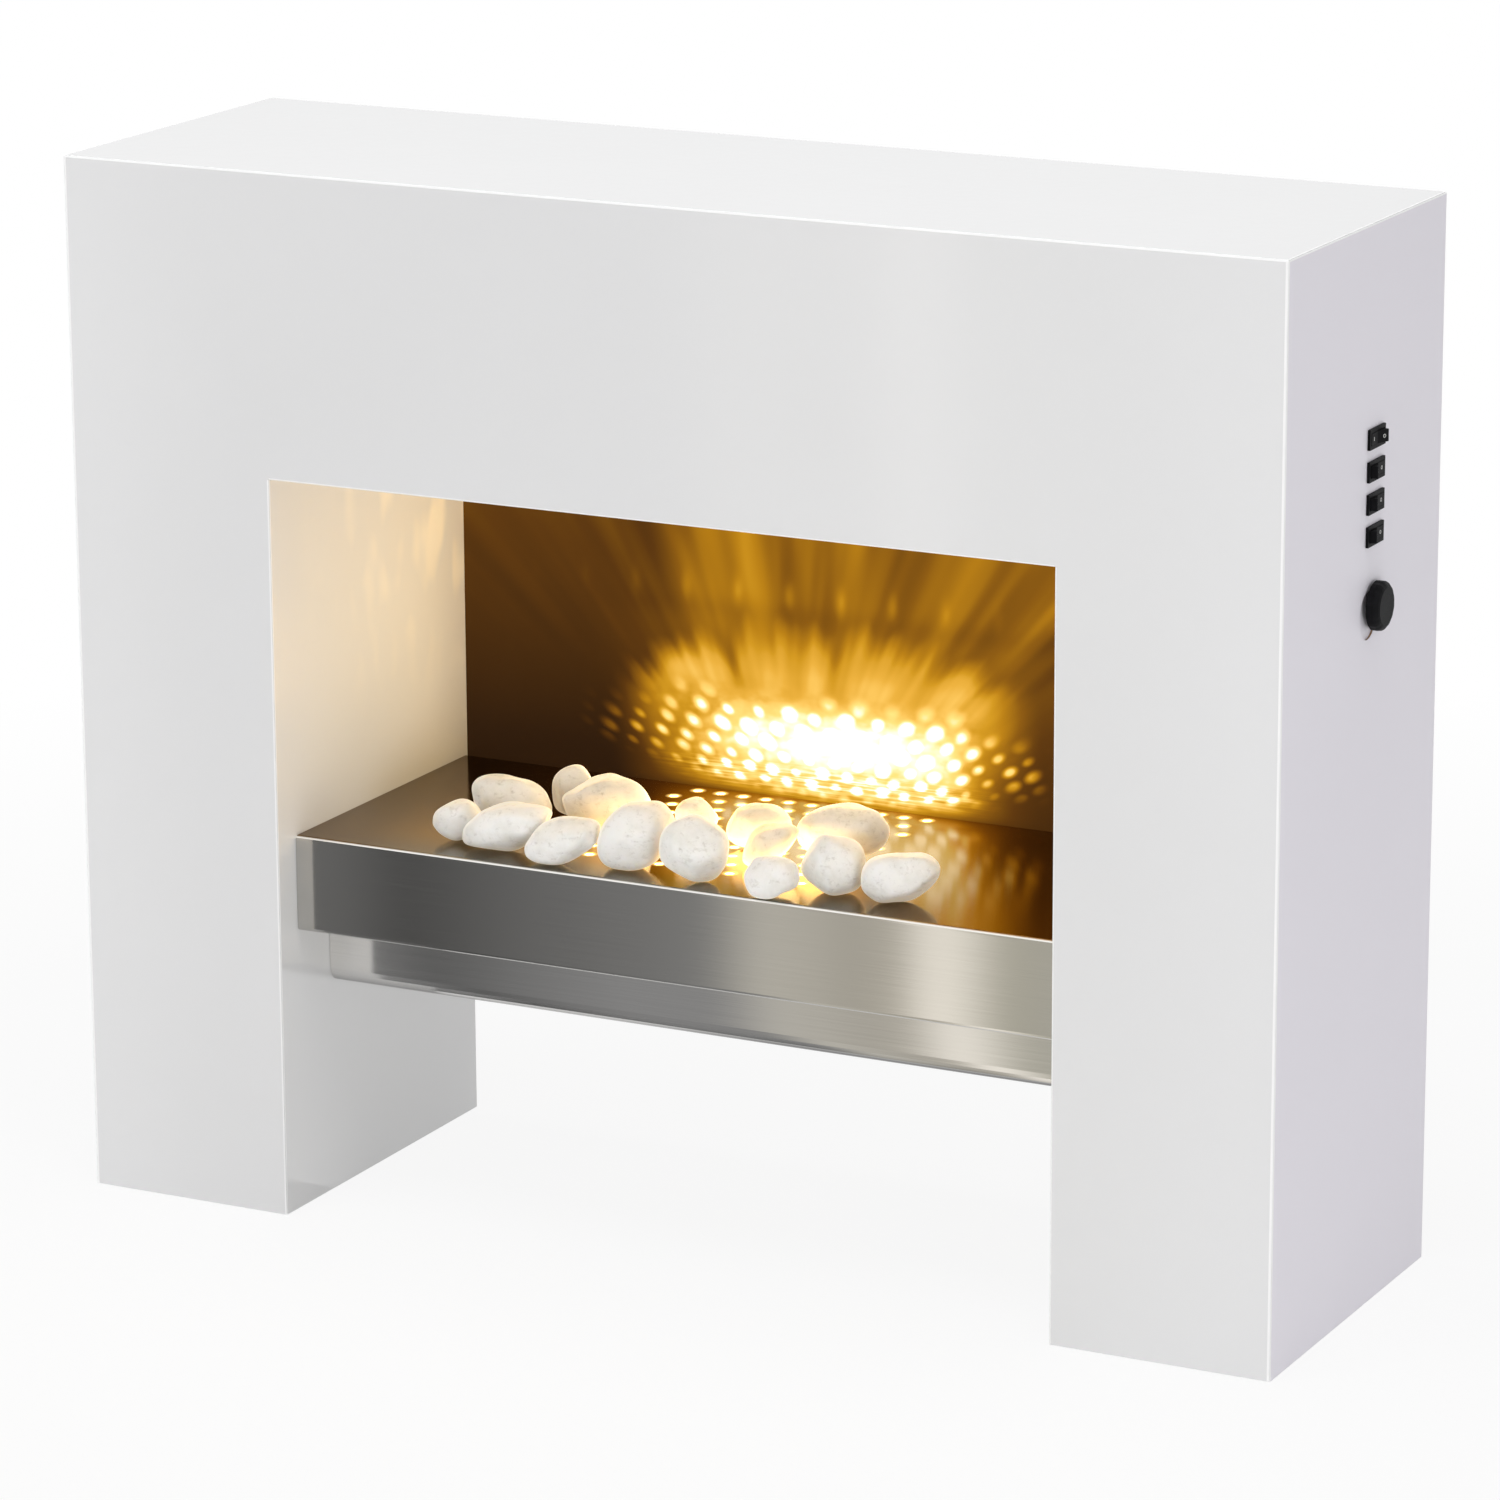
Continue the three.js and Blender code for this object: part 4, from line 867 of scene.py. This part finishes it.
def screws():
    """Pan heads with a cross recess.

    At radius r the head stands out by H (1 - (r / R) ^ 4) ^ 0.5, less a recess along the two lines
    of a cross, each with a section of exp(-(distance / width) ^ 4).
    """
    face = float(span("header_back_cover")[1][1])
    share = np.sin(np.linspace(0, np.pi / 2, SCREW_ROWS - 1))
    turn = np.linspace(0, 2 * np.pi, SCREW_COLUMNS, endpoint=False)
    across = SCREW_RADIUS * share[:, None] * np.cos(turn)
    upward = SCREW_RADIUS * share[:, None] * np.sin(turn)
    width = CROSS_WIDTH * SCREW_RADIUS
    cross = np.maximum(np.exp(-(across / width) ** 4), np.exp(-(upward / width) ** 4))
    dome = SCREW_HEIGHT * np.maximum(1 - share ** 4, 0)[:, None] ** 0.5
    out = dome - CROSS_DEPTH * SCREW_HEIGHT * cross * (share < CROSS_REACH)[:, None]
    rows = np.stack([across, out, upward], axis=-1)
    closing = np.zeros((1, SCREW_COLUMNS, 3))
    for number, (x, z) in enumerate(screw_places(), 1):
        points = np.concatenate([rows, closing]) + (x, face, z)
        surface(f"cover_screw_{number:02d}", points, SCREW)


MARK_RAISE = 0.00015
MARK_SIDES = 24
MARK_AWAY = 0.0068
BAR_HALVES = (0.0004, 0.0014)
RING_RADII = (0.0009, 0.0014)
ROCKER_SLOPE = math.radians(11)
ROCKER_MIDDLE = 0.0045
ROCKER_PIVOT_DEPTH = 0.002
SWITCH_THAT_RESTS_OVER = 1


def ring(inner, outer):
    """Corners and faces of a thin flat ring: u across, v up, w out."""
    turn = np.linspace(0, 2 * np.pi, MARK_SIDES, endpoint=False)
    loops = [
        np.stack([radius * np.cos(turn), radius * np.sin(turn), 0 * turn + lift], axis=-1)
        for radius, lift in ((inner, 0), (outer, 0), (outer, MARK_RAISE), (inner, MARK_RAISE))
    ]
    start = np.arange(4)[:, None] * MARK_SIDES + np.arange(MARK_SIDES)[None, :]
    after = np.roll(start, -1, axis=1)
    above = np.roll(start, -1, axis=0)
    faces = np.stack([start, after, np.roll(after, -1, axis=0), above], axis=-1).reshape(-1, 4)
    return np.concatenate(loops), faces.tolist()


def bar(half_width, half_height):
    """Corners and faces of a flat bar as thick as the ring."""
    corners = np.array([
        (u, v, w) for w in (0, MARK_RAISE)
        for u, v in ((-half_width, -half_height), (half_width, -half_height),
                     (half_width, half_height), (-half_width, half_height))
    ])
    sides = [[i, (i + 1) % 4, (i + 1) % 4 + 4, i + 4] for i in range(4)]
    return corners, [[3, 2, 1, 0], [4, 5, 6, 7], *sides]


def rocker_marks():
    """A bar on the front half of each rocker and a ring on its back half.

    A rocker's face is a shallow V. On each half a mark lies in (u, v), across and out from the
    pivot, turned by the half's slope, and then all turns by the tilt at which the rocker rests.
    """
    pivot = SIDE_FACE - ROCKER_PIVOT_DEPTH
    for number in SWITCHES:
        low, high = span(f"switch_{number}_rocker")
        tilt = -ROCKER_SLOPE if number == SWITCH_THAT_RESTS_OVER else ROCKER_SLOPE
        for name, side, (corners, faces) in (
            ("bar", -1, bar(*BAR_HALVES)), ("ring", 1, ring(*RING_RADII)),
        ):
            slope = side * ROCKER_SLOPE
            u = side * MARK_AWAY + corners[:, 0] * math.cos(slope) - corners[:, 2] * math.sin(slope)
            v = ROCKER_MIDDLE + MARK_AWAY * math.tan(ROCKER_SLOPE)
            v = v + corners[:, 0] * math.sin(slope) + corners[:, 2] * math.cos(slope)
            points = np.stack([
                pivot + v * math.cos(tilt) - u * math.sin(tilt),
                CONTROL_Y + u * math.cos(tilt) + v * math.sin(tilt),
                (low[2] + high[2]) / 2 + corners[:, 1],
            ], axis=-1)
            piece(f"rocker_{number}_{name}", points, faces, INK,
                  f"rocker_{number}", smooth=False)


# ---------- Setting ----------

PLAIN_WHITE = (1.0, 1.0, 1.0)

# Name, place, aim, size, power and colour of each lamp. The last two are the fire's own light.
LAMPS = (
    ("top_lamp", (0.0, -0.5, 3.8), (0.0, 0.0, 0.4), (2.6, 2.6), 58, PLAIN_WHITE),
    ("front_lamp", (-2.6, -4.2, 1.0), (-0.1, 0.0, 0.4), (2.0, 1.6), 42, PLAIN_WHITE),
    ("side_lamp", (3.9, -3.4, 0.7), (-0.2, 0.0, 0.4), (1.4, 1.4), 57, PLAIN_WHITE),
    ("fire_glow", (0.02, FIREBACK_FACE - 0.01, SHELF_TOP + 0.10), (0.02, -1.0, SHELF_TOP + 0.11),
     (0.34, 0.16), 0.9, (1.0, 0.82, 0.50)),
    ("ember_glow", (0.0, 0.03, SHELF_TOP + 0.002), (0.0, 0.03, 1.0), (0.21, 0.18), 0.6,
     (1.0, 0.70, 0.32)),
)


def area_light(name, place, aim, size, power, colour):
    """A soft rectangular lamp at a place, turned towards an aim and unseen by the camera."""
    lamp = bpy.data.lights.new(name, "AREA")
    lamp.shape = "RECTANGLE"
    lamp.size, lamp.size_y = size
    lamp.energy = power
    lamp.color = colour
    made = bpy.data.objects.new(name, lamp)
    toward = np.array(aim, float) - np.array(place, float)
    yaw = math.atan2(toward[1], toward[0]) - math.pi / 2
    dip = math.atan2(-toward[2], math.hypot(toward[0], toward[1]))
    made.matrix_world = (
        Matrix.Translation(place) @ Matrix.Rotation(yaw, 4, "Z")
        @ Matrix.Rotation(math.pi / 2 - dip, 4, "X")
    )
    made.visible_camera = False
    made.visible_glossy = False
    bpy.context.scene.collection.objects.link(made)


CARD_LEFT = -1.2
CARD_RIGHT = 0.5
CARD_NEAR = -0.08
CARD_FAR = -0.75
CARD_HEIGHT = 1.3
CARD_LIFT = 0.001


def reflector():
    """A graded sheet on the floor that bends up into a wall, seen only in mirrors.

    Its tone follows the place in the shelf's front that mirrors it towards the front right, in
    metres from the cabinet's left side: a dark sweep, then a warm pale part with one bright band.
    Its edges fade out, so that gloss lacquer shows no outline of it.
    """
    mesh = bpy.data.meshes.new("reflector")
    bends = [(CARD_NEAR, CARD_LIFT), (CARD_FAR, CARD_LIFT), (CARD_FAR, CARD_HEIGHT)]
    vertices = [(x, y, z) for y, z in bends for x in (CARD_LEFT, CARD_RIGHT)]
    mesh.from_pydata(vertices, [], [(0, 1, 3, 2), (2, 3, 5, 4)])
    finish = Finish("graded_card", (0.0, 0.0, 0.0), 1.0)
    x, y, z = finish.axes()
    away = y * -1.0 + SHELF_FRONT
    distance = SHELF_FRONT - CAMERA_PLACE[1]
    mirrored = (x + away * (CAMERA_PLACE[0] / distance)) / (away / distance + 1.0)
    along = mirrored + SIDE_FACE
    tone = finish.ramp(
        along, (0.0, (0.22,) * 3), (0.21, (0.20,) * 3), (0.27, (0.105,) * 3), (0.36, (0.20,) * 3),
        (0.53, (0.33,) * 3), (0.575, (0.80, 0.77, 0.69)), (0.65, (0.61, 0.58, 0.51)),
        (0.69, (0.70, 0.66, 0.57)), (0.710, (1.42, 1.35, 1.23)), (0.732, (1.42, 1.35, 1.23)),
        (0.775, (0.62, 0.60, 0.50)), (0.84, (0.66, 0.64, 0.58)),
    )
    tree = finish.material.node_tree
    shown = tree.nodes.new("ShaderNodeEmission")
    tree.links.new(tone, shown.inputs["Color"])
    clear = tree.nodes.new("ShaderNodeBsdfTransparent")
    mix = tree.nodes.new("ShaderNodeMixShader")
    cover = along.step(-0.02, 0.16) * along.step(1.0, 0.84) * z.step(CARD_HEIGHT, CARD_HEIGHT * 0.6)
    tree.links.new(cover.socket, mix.inputs[0])
    tree.links.new(clear.outputs[0], mix.inputs[1])
    tree.links.new(shown.outputs[0], mix.inputs[2])
    tree.links.new(mix.outputs[0], tree.nodes["Material Output"].inputs["Surface"])
    mesh.materials.append(finish.material)
    card = bpy.data.objects.new("reflector", mesh)
    card.visible_camera = False
    card.visible_diffuse = False
    card.visible_shadow = False
    card.visible_transmission = False
    bpy.context.scene.collection.objects.link(card)


def white_to_view(tree, lit, white):
    """Links a mix of two shaders: white for what looks straight or by mirror, lit for the rest."""
    path = tree.nodes.new("ShaderNodeLightPath")
    seen = tree.nodes.new("ShaderNodeMath")
    seen.operation = "MAXIMUM"
    tree.links.new(path.outputs["Is Camera Ray"], seen.inputs[0])
    tree.links.new(path.outputs["Is Glossy Ray"], seen.inputs[1])
    either = tree.nodes.new("ShaderNodeMath")
    either.operation = "MAXIMUM"
    tree.links.new(seen.outputs[0], either.inputs[0])
    tree.links.new(path.outputs["Is Transmission Ray"], either.inputs[1])
    mix = tree.nodes.new("ShaderNodeMixShader")
    tree.links.new(either.outputs[0], mix.inputs[0])
    tree.links.new(lit, mix.inputs[1])
    tree.links.new(white, mix.inputs[2])
    return mix.outputs[0]


AMBIENT = 0.46


def world():
    """White to the eye and in mirrors, and a plain soft light on the object."""
    made = bpy.data.worlds.new("studio")
    made.use_nodes = True
    tree = made.node_tree
    lit = tree.nodes["Background"]
    lit.inputs["Color"].default_value = (*PLAIN_WHITE, 1.0)
    lit.inputs["Strength"].default_value = AMBIENT
    white = tree.nodes.new("ShaderNodeBackground")
    white.inputs["Color"].default_value = (*PLAIN_WHITE, 1.0)
    white.inputs["Strength"].default_value = 1.0
    shown = white_to_view(tree, lit.outputs[0], white.outputs[0])
    tree.links.new(shown, tree.nodes["World Output"].inputs["Surface"])
    bpy.context.scene.world = made


FLOOR_RADIUS = 12.0
FLOOR_SIDES = 96
FLOOR_DROP = 0.0005
FLOOR_WHITE_FROM = 0.9
FLOOR_WHITE_BY = 1.8
FLOOR_LEAST_WHITE = 0.88


def floor():
    """A wide pale disc that keeps a light shadow of the object, and is plain white further out."""
    turn = np.linspace(0, 2 * np.pi, FLOOR_SIDES, endpoint=False)
    vertices = np.stack([
        FLOOR_RADIUS * np.cos(turn), FLOOR_RADIUS * np.sin(turn), 0 * turn - FLOOR_DROP,
    ], axis=-1)
    mesh = bpy.data.meshes.new("floor")
    mesh.from_pydata(vertices.tolist(), [], [list(range(FLOOR_SIDES))])
    material = bpy.data.materials.new("pale_floor")
    material.use_nodes = True
    tree = material.node_tree
    paint = tree.nodes["Principled BSDF"]
    paint.inputs["Base Color"].default_value = (0.85, 0.85, 0.85, 1.0)
    paint.inputs["Roughness"].default_value = 0.9
    paint.inputs["Specular IOR Level"].default_value = 0.0
    white = tree.nodes.new("ShaderNodeEmission")
    keep = tree.nodes.new("ShaderNodeMixShader")
    spot = tree.nodes.new("ShaderNodeTexCoord")
    reach = tree.nodes.new("ShaderNodeVectorMath")
    reach.operation = "LENGTH"
    tree.links.new(spot.outputs["Object"], reach.inputs[0])
    fade = tree.nodes.new("ShaderNodeMapRange")
    tree.links.new(reach.outputs["Value"], fade.inputs["Value"])
    fade.inputs["From Min"].default_value = FLOOR_WHITE_FROM
    fade.inputs["From Max"].default_value = FLOOR_WHITE_BY
    fade.inputs["To Min"].default_value = FLOOR_LEAST_WHITE
    tree.links.new(fade.outputs["Result"], keep.inputs[0])
    tree.links.new(paint.outputs[0], keep.inputs[1])
    tree.links.new(white.outputs[0], keep.inputs[2])
    shown = white_to_view(tree, paint.outputs[0], keep.outputs[0])
    tree.links.new(shown, tree.nodes["Material Output"].inputs["Surface"])
    mesh.materials.append(material)
    made = bpy.data.objects.new("floor", mesh)
    bpy.context.scene.collection.objects.link(made)


# ---------- Assembly ----------

finish_nodes()
for number in range(1, len(STONE_LEANS) + 1):
    stone(number)
lit_holes()
screws()
rocker_marks()
world()
floor()
reflector()
for lamp in LAMPS:
    area_light(*lamp)
bpy.context.scene.view_settings.view_transform = "Standard"
